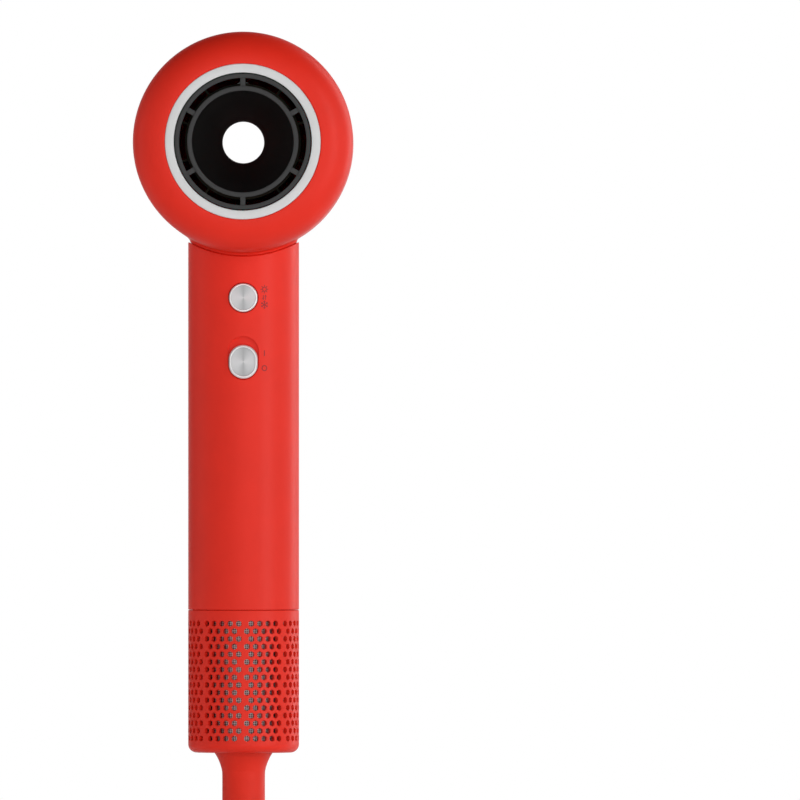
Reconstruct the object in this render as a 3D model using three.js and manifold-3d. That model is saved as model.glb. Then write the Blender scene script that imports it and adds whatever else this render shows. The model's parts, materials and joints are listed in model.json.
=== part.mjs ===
// Hair dryer with an open ring-shaped head, a slim handle and a perforated air intake.
// Millimetres, +Z up along the handle, the outlet faces -Y. The origin is where a hand holds the handle.

import * as THREE from 'three';
import { mergeVertices } from 'three/addons/utils/BufferGeometryUtils.js';
import Module from 'manifold-3d';

const wasm = await Module();
wasm.setup();

// ---------------------------------------------------------------- driving dimensions

const GAP = 0.3; // clearance between neighbouring pieces
const ROUND = 36; // facets round the big shells
const SMALL_ROUND = 24; // facets round small turned pieces

// Head: turned about the Y axis, centred HEAD_Z above the grip.
const HEAD_Z = 110;
const HEAD_RADIUS = 39;
const HEAD_FRONT = -52;
const HEAD_REAR = 35;
const HEAD_WALL = 2;
const FRONT_ROUND = 11.5;
const REAR_ROUND = 1.3;
const OUTLET_RADIUS = 27.6; // hole in the front of the shell
const BEZEL_RADIUS = 37.6;
const BEZEL_BACK_Y = 31.6;

// Outlet: silver ring, then the grille's two rings with the slot between them.
const RING_INNER = 24.4;
const SLOT_OUTER = 22.5;
const SLOT_INNER = 19.7;
const GRILLE_INNER = 18;
const GRILLE_DEPTH = 8;
const RIB_COUNT = 6;
const RIB_WIDTH = 1.85;

// Open tunnel through the head: black cone at the front, red bell at the rear, then a ring-shaped crest.
const THROAT_RADIUS = 7.4;
const THROAT_Y = -13;
const TUNNEL_WALL = 1.6;
const TUNNEL_JOINT_RADIUS = 11.5;
const TUNNEL_JOINT_Y = -8;
const WAIST_RADIUS = 16.2;
const WAIST_Y = 8;
const BELL_RADIUS = 22.2;
const BELL_Y = 27;
const CREST_RADIUS = 31;
const CREST_Y = 37;
const RIM_RADIUS = 36.9;

// Heater, inside the head.
const HEATER_FRONT = -42;
const HEATER_REAR = -16;
const HEATER_PLATES = 10;

// Controls on the rear face.
const CONTROL_RADIUS = 28.4;
const ROCKER_WIDTH = 4.4;
const ROCKER_HALF_ANGLE = 24.9;
const ROCKER_FACE_Y = 34.6;
const ROCKER_DEPTH = 9;
const PIN_Y = 27.2;
const PIN_RADIUS = 0.8;
const PIN_REACH = 3;
const LUG_WIDTH = 5;
const LUG_THICKNESS = 1.2;
const LUG_BACK_Y = 24.2;
const LUG_INNER_TOP_Y = 28.4; // the lug nearer the head's axis ends lower, under the slope
const LUG_OUTER_TOP_Y = 32;
const LED_ANGLES = [19.5, 32.5, 45.5];
const LED_RADIUS = 0.5;
const CONTROL_BOARD_Y = 20.4;

// Handle: turned about the Z axis.
const HANDLE_RADIUS = 19.7;
const HANDLE_BORE = 18;
const HANDLE_TOP_ARC = 40.3; // the top follows the head at this radius
const SEAM_Z = -55.9;
const NECK_RADIUS = 19;
const NECK_BORE = 15;
const SPIGOT_RADIUS = 16.9;
const SPIGOT_BOTTOM = 63;

// Front controls.
const BUTTON_Z = 54.9;
const BUTTON_RADIUS = 5.1;
const BUTTON_HOLE = 5.6;
const BUTTON_FACE_Y = -20.3;
const SLIDER_Z = 32.15;
const SLIDER_WIDTH = 10.3;
const SLIDER_HEIGHT = 12;
const RECESS_Z = 33.5;
const RECESS_WIDTH = 10.9;
const RECESS_HEIGHT = 15.3;
const RECESS_FLOOR_Y = -18;
const SLIDER_FACE_Y = -20.6;
const BOARD_Y = -12.6;
const BOARD_THICKNESS = 1.6;

// Motor unit.
const HOUSING_OUTER = 15.5;
const HOUSING_INNER = 14.3;
const HOUSING_BOTTOM = -58;
const HOUSING_TOP = -12;
const SHAFT_RADIUS = 1.5;
const STATOR_RADIUS = 8;
const BLADE_COUNT = 9;
const VANE_COUNT = 7;
const LEAD_ANGLE = Math.PI / 8; // the side where the supply lead climbs past the motor

// Air intake.
const COVER_BOTTOM = -106.7;
const COVER_BORE = 18.1;
const COVER_FLOOR = 1.6;
const COVER_ROUND = 3;
const COVER_HOLE = 10.6;
const SECTORS = 8;
const FRAME_RADIUS = 17;
const MESH_RADIUS = 17.7;
const MESH_BOTTOM = -102.8;
const MESH_TOP = -59.6;

// Mains lead.
const CORD_DIAMETER = 7.2;
const CORD_EXIT_Z = -152;
const RELIEF_RADIUS = 10.25;
const RELIEF_NECK = 7.6;
const HANK_FOLD_RADIUS = 3 * CORD_DIAMETER;
const HANK_RUN = 137;
const HANK_TOP = -202;
const HANK_PLANES = 5;
const HANK_PITCH = 7.5;

// The lead from the strain relief down to the hank, and from the hank's back to the plug.
const LEAD_ROUTE = [
  [0, 0, -152.3],
  [0, 0, -156],
  [0, 0, -160],
  [0, -0.1, -164],
  [0, -0.6, -168],
  [0, -1.6, -172],
  [0, -3.1, -176],
  [0, -5.1, -180],
  [0, -7.3, -184],
  [-0.1, -9.5, -188],
  [-0.4, -11.5, -191.5],
  [-1.0, -13.2, -195],
  [-1.7, -14.2, -197.6],
  [-2.6, -14.8, -200.4],
];
const TAIL_ROUTE = [
  [-21.1, 22.4, -272],
  [-20.3, 25.2, -276.5],
  [-19.3, 27.6, -281],
  [-18.1, 29.6, -285.5],
  [-16.8, 31.1, -290],
  [-15.6, 32.1, -294.5],
  [-14.8, 32.5, -299],
  [-14.5, 32.6, -303],
];
const PLUG_X = -14.5;
const PLUG_Y = 32.6;
const PLUG_TOP = -303.3;

// ---------------------------------------------------------------- materials

function finish(color, roughness, metalness) {
  return new THREE.MeshStandardMaterial({ color, roughness, metalness });
}

const redSatin = finish(0xdc3226, 0.42, 0);
const blackPlastic = finish(0x111111, 0.55, 0);
const greyPlastic = finish(0x3e3e3e, 0.5, 0);
const silver = finish(0xc8c8c8, 0.35, 0.85);
const aluminium = finish(0xb9b9bb, 0.3, 1);
const chrome = finish(0xd9c9c8, 0.12, 1);
const steel = finish(0x9a9a9c, 0.35, 1);
const mica = finish(0xb9a27c, 0.7, 0);
const board = finish(0x14532d, 0.6, 0);
const rubber = finish(0x1d1d1d, 0.9, 0);
const copper = finish(0xb4652b, 0.35, 1);
const whiteLens = finish(0xffffff, 0.3, 0);
const redLens = finish(0xe0302a, 0.3, 0);
const brass = finish(0xc9a65a, 0.3, 1);
const redSoft = finish(0xc92a20, 0.6, 0);

// ---------------------------------------------------------------- shape helpers

/** A closed three.js geometry as a solid, with its faces pointing out. */
function solid(geometry) {
  const bare = geometry.clone();
  bare.deleteAttribute('normal');
  bare.deleteAttribute('uv');
  const merged = mergeVertices(bare, 1e-4);
  const position = merged.attributes.position.array;
  const corners = [];
  let volume = 0;
  const a = new THREE.Vector3();
  const b = new THREE.Vector3();
  const c = new THREE.Vector3();
  for (let i = 0; i < merged.index.count; i += 3) {
    const [p, q, r] = merged.index.array.slice(i, i + 3);
    if (p === q || q === r || r === p) continue;
    corners.push(p, q, r);
    a.fromArray(position, 3 * p);
    b.fromArray(position, 3 * q);
    c.fromArray(position, 3 * r);
    volume += a.dot(b.cross(c));
  }
  if (volume < 0) corners.reverse();
  const mesh = new wasm.Mesh({
    numProp: 3,
    vertProperties: Float32Array.from(position),
    triVerts: Uint32Array.from(corners),
  });
  return new wasm.Manifold(mesh);
}

function geometryOf(body) {
  const mesh = body.getMesh();
  const geometry = new THREE.BufferGeometry();
  geometry.setAttribute('position', new THREE.BufferAttribute(mesh.vertProperties, 3));
  geometry.setIndex(new THREE.BufferAttribute(mesh.triVerts, 1));
  geometry.computeVertexNormals();
  return geometry;
}

function joined(bodies) {
  return bodies.reduce((whole, body) => whole.add(body));
}

function degrees(angle) {
  return THREE.MathUtils.degToRad(angle);
}

/** Turned about Y from a closed outline of [radius, y] corners, or one that starts and ends on the axis. */
function turned(outline, sides = ROUND) {
  const points = outline.map(([radius, y]) => new THREE.Vector2(radius, y));
  const onAxis = outline[0][0] === 0 && outline.at(-1)[0] === 0;
  if (!onAxis) points.push(points[0].clone());
  return solid(new THREE.LatheGeometry(points, sides));
}

/** Turned about Z from an outline of [radius, z] corners. */
function standing(outline, sides = ROUND) {
  return turned(outline, sides).rotate([90, 0, 0]);
}

/** Outline corners of a quarter round from one angle to another, in degrees. */
function arc(radius, z, size, from, to, steps) {
  return Array.from({ length: steps + 1 }, (_, i) => {
    const angle = degrees(from + ((to - from) * i) / steps);
    return [radius + size * Math.cos(angle), z + size * Math.sin(angle)];
  });
}

/** The half outline of a solid disc or bar on the axis. */
function disc(radius, low, high) {
  return [[0, low], [radius, low], [radius, high], [0, high]];
}

function box(width, depth, height, x, y, z) {
  return solid(new THREE.BoxGeometry(width, depth, height)).translate([x, y, z]);
}

/** A ring about Z between two radii and two heights. */
function sleeve(outer, inner, bottom, top, sides = ROUND) {
  return standing([[outer, bottom], [outer, top], [inner, top], [inner, bottom]], sides);
}

/** A round bar about Z. */
function bar(radius, bottom, top, sides = SMALL_ROUND) {
  return standing(disc(radius, bottom, top), sides);
}

/** A flat outline in X and Z, pushed forward from backY to frontY. */
function forward(shape, backY, frontY, curveSegments = 10) {
  const depth = backY - frontY;
  const geometry = new THREE.ExtrudeGeometry(shape, { depth, bevelEnabled: false, curveSegments });
  return solid(geometry).rotate([90, 0, 0]).translate([0, backY, 0]);
}

function circle(radius, x = 0, z = 0) {
  const shape = new THREE.Shape();
  shape.absarc(x, z, radius, 0, 2 * Math.PI, false);
  return shape;
}

/** An upright outline with half-round ends, centred on x = 0. */
function stadium(width, height, z) {
  const radius = width / 2;
  const straight = height / 2 - radius;
  const shape = new THREE.Shape();
  shape.absarc(0, z + straight, radius, 0, Math.PI, false);
  shape.absarc(0, z - straight, radius, Math.PI, 2 * Math.PI, false);
  shape.closePath();
  return shape;
}

/** A round tube along a curve. */
function tube(curve, radius, sides, steps) {
  const section = new THREE.Shape();
  for (let i = 0; i < sides; i += 1) {
    const angle = (2 * Math.PI * i) / sides;
    const draw = i === 0 ? 'moveTo' : 'lineTo';
    section[draw](radius * Math.cos(angle), radius * Math.sin(angle));
  }
  section.closePath();
  return solid(new THREE.ExtrudeGeometry(section, { extrudePath: curve, steps, bevelEnabled: false }));
}

function smoothCurve(route) {
  return new THREE.CatmullRomCurve3(route.map((point) => new THREE.Vector3(...point)));
}

const dryer = new THREE.Group();
dryer.name = 'hair_dryer';
const head = new THREE.Group();
head.position.z = HEAD_Z;
dryer.add(head);

function piece(parent, name, body, material) {
  const mesh = new THREE.Mesh(geometryOf(body), material);
  mesh.name = name;
  parent.add(mesh);
}

// ---------------------------------------------------------------- head casing

/** Thin shell with a rounded nose, and the neck that goes down into the handle. */
function headShell() {
  const noseY = HEAD_FRONT + FRONT_ROUND;
  const noseRadius = HEAD_RADIUS - FRONT_ROUND;
  const inner = HEAD_RADIUS - HEAD_WALL;
  const shell = turned([
    [OUTLET_RADIUS, HEAD_FRONT],
    ...arc(noseRadius, noseY, FRONT_ROUND, -78, 0, 5),
    ...arc(HEAD_RADIUS - REAR_ROUND, HEAD_REAR - REAR_ROUND, REAR_ROUND, 10, 70, 1),
    [BEZEL_RADIUS + GAP, HEAD_REAR],
    [BEZEL_RADIUS + GAP, HEAD_REAR - 4],
    [inner, HEAD_REAR - 4.9],
    ...arc(noseRadius, noseY, FRONT_ROUND - HEAD_WALL, 0, -70, 3),
    [OUTLET_RADIUS, HEAD_FRONT + HEAD_WALL],
  ]);
  const saddle = turned(disc(HANDLE_TOP_ARC - GAP, -30, 30), 60);
  const collar = sleeve(NECK_RADIUS, NECK_BORE, -50, -30).intersect(saddle);
  const neck = collar.add(sleeve(SPIGOT_RADIUS, NECK_BORE, SPIGOT_BOTTOM - HEAD_Z, -30));
  const inside = turned(disc(inner - 0.01, -45, 30));
  const passage = bar(NECK_BORE, -60, -20, ROUND);
  return shell.add(neck.subtract(inside)).subtract(passage);
}

/** Rear casing: the red half of the tunnel, the crest round it, and openings for the controls. */
function rearBezel() {
  const funnel = turned([
    [BEZEL_RADIUS, HEAD_REAR - 0.4],
    [RIM_RADIUS, HEAD_REAR],
    [CREST_RADIUS, CREST_Y],
    [BELL_RADIUS, BELL_Y],
    [WAIST_RADIUS, WAIST_Y],
    [TUNNEL_JOINT_RADIUS, TUNNEL_JOINT_Y + GAP],
    [TUNNEL_JOINT_RADIUS + TUNNEL_WALL, TUNNEL_JOINT_Y + GAP],
    [WAIST_RADIUS + TUNNEL_WALL, WAIST_Y],
    [BELL_RADIUS + 1.4, BELL_Y - 1.8],
    [35.4, HEAD_REAR - 3],
    [36.2, BEZEL_BACK_Y],
    [BEZEL_RADIUS, BEZEL_BACK_Y],
  ]);
  const lugPlace = PIN_REACH + LUG_THICKNESS / 3;
  const lugs = [
    rockerLug(-CONTROL_RADIUS + lugPlace, LUG_INNER_TOP_Y),
    rockerLug(-CONTROL_RADIUS - lugPlace, LUG_OUTER_TOP_Y),
  ];
  const cleared = rockerBar(ROCKER_WIDTH / 2 + GAP + 0.05, 20, 40);
  const ledHoles = ledPlaces().map(({ x, z }) => forward(circle(LED_RADIUS + GAP, x, z), 40, 20, 6));
  const closed = joined([funnel, ...lugs]).subtract(cleared).subtract(pinHole());
  return ledHoles.reduce((rest, hole) => rest.subtract(hole), closed);
}

/** One of the two plates behind the rear face that hold the rocker's pin. */
function rockerLug(z, topY) {
  return box(LUG_WIDTH, topY - LUG_BACK_Y, LUG_THICKNESS, 0, (topY + LUG_BACK_Y) / 2, z);
}

/** A bar across the rocker for its pin, or for the pin's hole. */
function pinBar(radius, reach) {
  return bar(radius, -CONTROL_RADIUS - reach, -CONTROL_RADIUS + reach, 12).translate([0, PIN_Y, 0]);
}

function pinHole() {
  return pinBar(PIN_RADIUS + GAP, PIN_REACH + GAP);
}

/** The rocker's curved outline with round ends, from frontY back to rearY. */
function rockerBar(halfWidth, frontY, rearY) {
  const middle = -90;
  const from = degrees(middle - ROCKER_HALF_ANGLE);
  const to = degrees(middle + ROCKER_HALF_ANGLE);
  const shape = new THREE.Shape();
  const end = (angle) => [CONTROL_RADIUS * Math.cos(angle), CONTROL_RADIUS * Math.sin(angle)];
  shape.absarc(0, 0, CONTROL_RADIUS + halfWidth, from, to, false);
  shape.absarc(...end(to), halfWidth, to, to + Math.PI, false);
  shape.absarc(0, 0, CONTROL_RADIUS - halfWidth, to, from, true);
  shape.absarc(...end(from), halfWidth, from + Math.PI, from + 2 * Math.PI, false);
  return forward(shape, rearY, frontY, 8);
}

function ledPlaces() {
  return [-1, 1].flatMap((side) => LED_ANGLES.map((angle, i) => ({
    name: side < 0 ? `white_led_${i + 1}` : `red_led_${i + 1}`,
    lens: side < 0 ? whiteLens : redLens,
    x: -side * CONTROL_RADIUS * Math.cos(degrees(angle)),
    z: -CONTROL_RADIUS * Math.sin(degrees(angle)),
  })));
}

/** Height of the slope that runs from the bell up to the crest. */
function funnelY(radius) {
  return BELL_Y + ((CREST_Y - BELL_Y) * (radius - BELL_RADIUS)) / (CREST_RADIUS - BELL_RADIUS);
}

piece(head, 'head_shell', headShell(), redSatin);
piece(head, 'rear_bezel', rearBezel(), redSatin);

// ---------------------------------------------------------------- outlet

function ringAboutY(outer, inner, front, back, sides = ROUND) {
  return turned([[outer, front], [outer, back], [inner, back], [inner, front]], sides);
}

function outletGrille() {
  const front = HEAD_FRONT + 0.6;
  const back = front + GRILLE_DEPTH;
  const rings = [
    ringAboutY(RING_INNER - GAP, SLOT_OUTER, front, back),
    ringAboutY(SLOT_INNER, GRILLE_INNER, front, back),
  ];
  const ribs = Array.from({ length: RIB_COUNT }, (_, i) => {
    const length = SLOT_OUTER - SLOT_INNER + 1;
    const rib = box(RIB_WIDTH, 5, length, 0, front + 2.9, (SLOT_OUTER + SLOT_INNER) / 2);
    return rib.rotate([0, (360 * i) / RIB_COUNT, 0]);
  });
  return joined([...rings, ...ribs]);
}

function innerCone() {
  const front = HEAD_FRONT + 1;
  return turned([
    [GRILLE_INNER - GAP, front],
    [15.2, -40],
    [12.4, -30],
    [9.6, -20.5],
    [THROAT_RADIUS, THROAT_Y],
    [THROAT_RADIUS + 1, THROAT_Y + 2.5],
    [TUNNEL_JOINT_RADIUS, TUNNEL_JOINT_Y],
    [TUNNEL_JOINT_RADIUS + TUNNEL_WALL, TUNNEL_JOINT_Y],
    [THROAT_RADIUS + 3, THROAT_Y + 1.5],
    [THROAT_RADIUS + 1.8, THROAT_Y],
    [11.2, -21],
    [14, -30.5],
    [GRILLE_INNER - GAP, front + GRILLE_DEPTH],
  ]);
}

const outletRing = turned([
  [OUTLET_RADIUS - GAP, HEAD_FRONT],
  [OUTLET_RADIUS - GAP, HEAD_FRONT + 2],
  [RING_INNER, HEAD_FRONT + 2],
  [RING_INNER, HEAD_FRONT + 0.4],
  [RING_INNER + 0.4, HEAD_FRONT],
]);
const magnetFront = HEAD_FRONT + 2.9;
piece(head, 'outlet_ring', outletRing, silver);
piece(head, 'nozzle_magnet_ring', ringAboutY(29.2, 24.8, magnetFront, magnetFront + 3), steel);
piece(head, 'outlet_grille', outletGrille(), greyPlastic);
piece(head, 'inner_cone', innerCone(), blackPlastic);

// ---------------------------------------------------------------- heater

function heaterFrame() {
  const core = ringAboutY(20.6, 19.4, HEATER_FRONT, HEATER_REAR, 40);
  const middle = (HEATER_FRONT + HEATER_REAR) / 2;
  const plate = box(0.8, HEATER_REAR - HEATER_FRONT - 2, 7.6, 0, middle, 24);
  const turn = 360 / HEATER_PLATES;
  const plates = Array.from({ length: HEATER_PLATES }, (_, i) => plate.rotate([0, turn * i, 0]));
  return joined([core, ...plates]);
}

class HeaterWinding extends THREE.Curve {
  getPoint(t, target = new THREE.Vector3()) {
    const turns = 4;
    const angle = 2 * Math.PI * turns * t;
    const y = HEATER_FRONT + 3 + t * (HEATER_REAR - HEATER_FRONT - 6);
    return target.set(29.1 * Math.cos(angle), y, 29.1 * Math.sin(angle));
  }
}

piece(head, 'heater_frame', heaterFrame(), mica);
piece(head, 'heater_coil', tube(new HeaterWinding(), 0.4, 5, 64), steel);
piece(head, 'heater_sleeve', ringAboutY(30.6, 29.9, HEATER_FRONT - 1, HEATER_REAR + 1, 40), mica);
piece(head, 'thermostat', forward(circle(3.6, 0, 18), HEATER_REAR + 6, HEATER_REAR + 1.5, 8), steel);

// ---------------------------------------------------------------- rear controls

function controlRocker() {
  return rockerBar(ROCKER_WIDTH / 2, ROCKER_FACE_Y - ROCKER_DEPTH, ROCKER_FACE_Y).subtract(pinHole());
}

/** Ring-shaped board behind the rocker and the lamps, with a notch at the bottom for its wires. */
function controlBoard() {
  const plate = ringAboutY(35, 24.6, CONTROL_BOARD_Y, CONTROL_BOARD_Y + BOARD_THICKNESS, 40);
  return plate.subtract(box(12, 6, 4, 0, CONTROL_BOARD_Y, -34.5));
}

piece(head, 'control_rocker', controlRocker(), chrome);
piece(head, 'rocker_pin', pinBar(PIN_RADIUS, PIN_REACH), steel);
piece(head, 'control_board', controlBoard(), board);
for (const { name, lens, x, z } of ledPlaces()) {
  const faceY = funnelY(CONTROL_RADIUS);
  piece(head, name, forward(circle(LED_RADIUS, x, z), faceY, faceY - 8, 6), lens);
}

// ---------------------------------------------------------------- handle

/** Tube whose top follows the round head, with the button's hole and the slider's recess. */
function handleTube() {
  const wall = sleeve(HANDLE_RADIUS, HANDLE_BORE, SEAM_Z, HEAD_Z - 34);
  const headClearance = turned(disc(HANDLE_TOP_ARC, -30, 30), 60);
  const padHeight = RECESS_HEIGHT + 4;
  const pad = box(15, 3, padHeight, 0, -17.9, RECESS_Z).intersect(bar(HANDLE_RADIUS - 0.4, 10, 60, ROUND));
  const recess = forward(stadium(RECESS_WIDTH, RECESS_HEIGHT, RECESS_Z), RECESS_FLOOR_Y, -25);
  const stemSlot = box(3.4, 8, 7, 0, -17, SLIDER_Z + 1.5);
  return wall
    .add(pad)
    .subtract(headClearance.translate([0, 0, HEAD_Z]))
    .subtract(forward(circle(BUTTON_HOLE, 0, BUTTON_Z), -10, -25, 12))
    .subtract(recess)
    .subtract(stemSlot);
}

function coolButton() {
  return joined([
    forward(circle(BUTTON_RADIUS, 0, BUTTON_Z), -16, BUTTON_FACE_Y, 12),
    forward(circle(6.3, 0, BUTTON_Z), -15.6, -16.6, 12),
  ]);
}

function powerSlider() {
  return joined([
    forward(stadium(SLIDER_WIDTH, SLIDER_HEIGHT, SLIDER_Z), RECESS_FLOOR_Y - GAP, SLIDER_FACE_Y, 12),
    box(2.6, 3.4, 3, 0, -16.9, SLIDER_Z),
  ]);
}

/** Notch that lets the supply lead past a ring inside the handle. */
function leadNotch(z) {
  return box(4.4, 2.4, 12.6, -16.9, 0, z).rotate([0, 0, THREE.MathUtils.radToDeg(LEAD_ANGLE)]);
}

const boardFront = BOARD_Y - GAP;
const mainBoard = box(23, BOARD_THICKNESS, 54, 0, BOARD_Y + BOARD_THICKNESS / 2, 35);
const powerSwitch = box(9, 2.2, 13, 0, boardFront - 1.1, SLIDER_Z + 1.5);
const airDuct = sleeve(12, 11, -8, 60, 36).translate([0, 4.6, 0]);
const ductAdapter = bar(17.6, HOUSING_TOP + GAP, -8.3, 36)
  .subtract(bar(11, -20, 0, 36).translate([0, 4.6, 0]))
  .subtract(leadNotch(-10));
piece(dryer, 'handle_tube', handleTube(), redSatin);
piece(dryer, 'neck_seal', sleeve(17.7, SPIGOT_RADIUS + GAP, 64, 66.5, 30), rubber);
piece(dryer, 'cool_button', coolButton(), aluminium);
piece(dryer, 'button_dome', forward(circle(3.4, 0, BUTTON_Z), boardFront, boardFront - 1.3, 8), rubber);
piece(dryer, 'power_slider', powerSlider(), aluminium);
piece(dryer, 'power_switch', powerSwitch, blackPlastic);
piece(dryer, 'main_board', mainBoard, board);
piece(dryer, 'air_duct', airDuct, blackPlastic);
piece(dryer, 'duct_adapter', ductAdapter, blackPlastic);

// ---------------------------------------------------------------- motor unit

/** Outer tube, a hub for the motor, and the straightening vanes that join them. */
function motorHousing() {
  const outer = sleeve(HOUSING_OUTER, HOUSING_INNER, HOUSING_BOTTOM, HOUSING_TOP, 40);
  const hub = standing([
    [4.3, -44],
    [STATOR_RADIUS + 1.3, -44],
    [STATOR_RADIUS + 1.3, -20],
    [4.3, -20],
    [4.3, -21.5],
    [STATOR_RADIUS + GAP, -21.5],
    [STATOR_RADIUS + GAP, -42.5],
    [4.3, -42.5],
  ], 30);
  const vane = box(6, 0.9, 16, 11.8, 0, -32);
  const vanes = Array.from({ length: VANE_COUNT }, (_, i) => vane.rotate([0, 0, (360 * i) / VANE_COUNT]));
  return joined([outer, hub, ...vanes]);
}

function stator() {
  const yoke = sleeve(STATOR_RADIUS, 6.8, -38, -26, 30);
  const tooth = box(2.8, 1.6, 12, 5.8, 0, -32);
  const teeth = Array.from({ length: 6 }, (_, i) => tooth.rotate([0, 0, 60 * i]));
  return joined([yoke, ...teeth]);
}

function impeller() {
  const hub = standing([[1.8, -57], [4, -57], [8.6, -49], [8.6, -46], [1.8, -46]], 30);
  const blade = box(7, 0.8, 9.5, 9.9, 0, 0).rotate([35, 0, 0]).translate([0, 0, -50.4]);
  const turn = 360 / BLADE_COUNT;
  const blades = Array.from({ length: BLADE_COUNT }, (_, i) => blade.rotate([0, 0, turn * i]));
  return joined([hub, ...blades]);
}

/** Rubber ring with a notch for the supply lead. */
function motorMount(bottom) {
  const ring = sleeve(17.7, HOUSING_OUTER + GAP, bottom, bottom + 4, 36);
  return ring.subtract(leadNotch(bottom + 2));
}

piece(dryer, 'motor_housing', motorHousing(), greyPlastic);
piece(dryer, 'stator', stator(), copper);
piece(dryer, 'rotor_shaft', bar(SHAFT_RADIUS, -58, -18, 16), steel);
piece(dryer, 'rotor_magnet', sleeve(4, SHAFT_RADIUS + GAP, -37, -27, 20), steel);
piece(dryer, 'impeller', impeller(), aluminium);
piece(dryer, 'lower_bearing', sleeve(4, SHAFT_RADIUS + GAP, -44.5, -41.5, 20), steel);
piece(dryer, 'upper_bearing', sleeve(4, SHAFT_RADIUS + GAP, -22.5, -19.5, 20), steel);
piece(dryer, 'lower_motor_mount', motorMount(-46), rubber);
piece(dryer, 'upper_motor_mount', motorMount(-20), rubber);

// ---------------------------------------------------------------- wiring inside

const heaterLeadRoute = [
  [-7, -8.6, 68],
  [-7, -9.5, 74],
  [-6, -9.5, 80],
  [-3, -9, 86],
  [0, -8.5, 90],
];
/** Radius and height along the side where the lead climbs past the motor. */
const supplyLeadRoute = [
  [8, -96],
  [11, -89],
  [13.4, -82],
  [14.2, -75],
  [15.2, -69],
  [16, -64],
  [16.2, -61],
  [16.7, -58],
  [16.7, -40],
  [16.7, -20],
  [16.7, -8],
  [16.2, 2],
  [15.9, 12],
].map(([radius, z]) => [-radius * Math.cos(LEAD_ANGLE), -radius * Math.sin(LEAD_ANGLE), z]);
piece(dryer, 'heater_leads', tube(smoothCurve(heaterLeadRoute), 1, 8, 10), rubber);
piece(dryer, 'supply_lead', tube(smoothCurve(supplyLeadRoute), 0.8, 6, 30), rubber);

// ---------------------------------------------------------------- air intake

/** One window for each sector between the upright bars, as a wedge from the axis outward. */
function windows(halfAngle, bottom, top) {
  const reach = 30;
  const shape = new THREE.Shape();
  shape.absarc(0, 0, reach, degrees(-halfAngle), degrees(halfAngle), false);
  shape.lineTo(0, 0);
  shape.closePath();
  const settings = { depth: top - bottom, bevelEnabled: false, curveSegments: 6 };
  const wedge = solid(new THREE.ExtrudeGeometry(shape, settings)).translate([0, 0, bottom]);
  const middle = 180 / SECTORS;
  return Array.from({ length: SECTORS }, (_, i) => wedge.rotate([0, 0, middle + (360 * i) / SECTORS]));
}

/** Sliding cover: a cup with windows and a hole in its floor for the strain relief. */
function intakeCover() {
  const top = SEAM_Z - GAP;
  const cup = standing([
    [HANDLE_RADIUS, top],
    ...arc(HANDLE_RADIUS - COVER_ROUND, COVER_BOTTOM + COVER_ROUND, COVER_ROUND, 0, -90, 4),
    [COVER_HOLE, COVER_BOTTOM],
    [COVER_HOLE, COVER_BOTTOM + COVER_FLOOR],
    [HANDLE_RADIUS - COVER_ROUND, COVER_BOTTOM + COVER_FLOOR],
    [COVER_BORE, COVER_BOTTOM + COVER_ROUND + 0.2],
    [COVER_BORE, top],
  ]);
  return windows(18.6, -102.7, -59.6).reduce((rest, hole) => rest.subtract(hole), cup);
}

/** Cage that carries the fine mesh: it is fixed inside the handle and closed at the bottom. */
function intakeFrame() {
  const cage = standing([
    [17.7, -50.5],
    [17.7, -57.2],
    [FRAME_RADIUS, -57.2],
    [FRAME_RADIUS, -101.5],
    [15.8, -104.6],
    [4.3, -104.6],
    [4.3, -102.2],
    [15.4, -102.2],
    [15.4, -59.5],
    [16, -57.2],
    [16, -50.5],
  ]);
  const opened = windows(17, -98, -61).reduce((rest, hole) => rest.subtract(hole), cage);
  const screwHoles = [-6, 6].map((x) => bar(1.3, -106, -100, 12).translate([x, 7, 0]));
  return screwHoles.reduce((rest, hole) => rest.subtract(hole), opened)
    .subtract(leadNotch(-55.8));
}

piece(dryer, 'intake_cover', intakeCover(), redSatin);
piece(dryer, 'intake_frame', intakeFrame(), blackPlastic);
piece(dryer, 'intake_mesh', sleeve(MESH_RADIUS, FRAME_RADIUS + GAP, MESH_BOTTOM, MESH_TOP, 36), steel);

// ---------------------------------------------------------------- mains lead

const reliefOutline = [
  [0, -98.6],
  [5, -98.6],
  [5, -101.9],
  [4, -101.9],
  [4, -104.9],
  [RELIEF_RADIUS, -104.9],
  [RELIEF_RADIUS, COVER_BOTTOM - 0.2],
  [9.3, COVER_BOTTOM - 1.8],
  [8.4, COVER_BOTTOM - 3.9],
  [RELIEF_NECK, COVER_BOTTOM - 7.3],
  [RELIEF_NECK, -126],
  [5.2, CORD_EXIT_Z + 1],
  [4.9, CORD_EXIT_Z],
  [0, CORD_EXIT_Z],
];
piece(dryer, 'strain_relief', standing(reliefOutline, 24), redSoft);

const clampBlock = box(17, 5, 3.4, 0, 8, -100.2);
const clampHoles = [-6, 6].map((x) => bar(1.3, -106, -90, 12).translate([x, 7, 0]));
piece(dryer, 'cord_clamp', clampHoles.reduce((rest, hole) => rest.subtract(hole), clampBlock), blackPlastic);
[-6, 6].forEach((x, i) => {
  const screw = standing([[0, -104.4], [1, -104.4], [1, -98.2], [2, -98.2], [2, -97], [0, -97]], 12);
  piece(dryer, `clamp_screw_${i + 1}`, screw.translate([x, 7, 0]), steel);
});

/** The folded hank's outer shape: an upright outline with round ends, as deep as its planes of cord. */
function cordHank() {
  const width = 2 * HANK_FOLD_RADIUS + CORD_DIAMETER;
  const height = HANK_RUN + width;
  const halfDepth = ((HANK_PLANES - 1) * HANK_PITCH + CORD_DIAMETER) / 2;
  return forward(stadium(width, height, HANK_TOP - height / 2), halfDepth, -halfDepth, 12);
}

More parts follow.
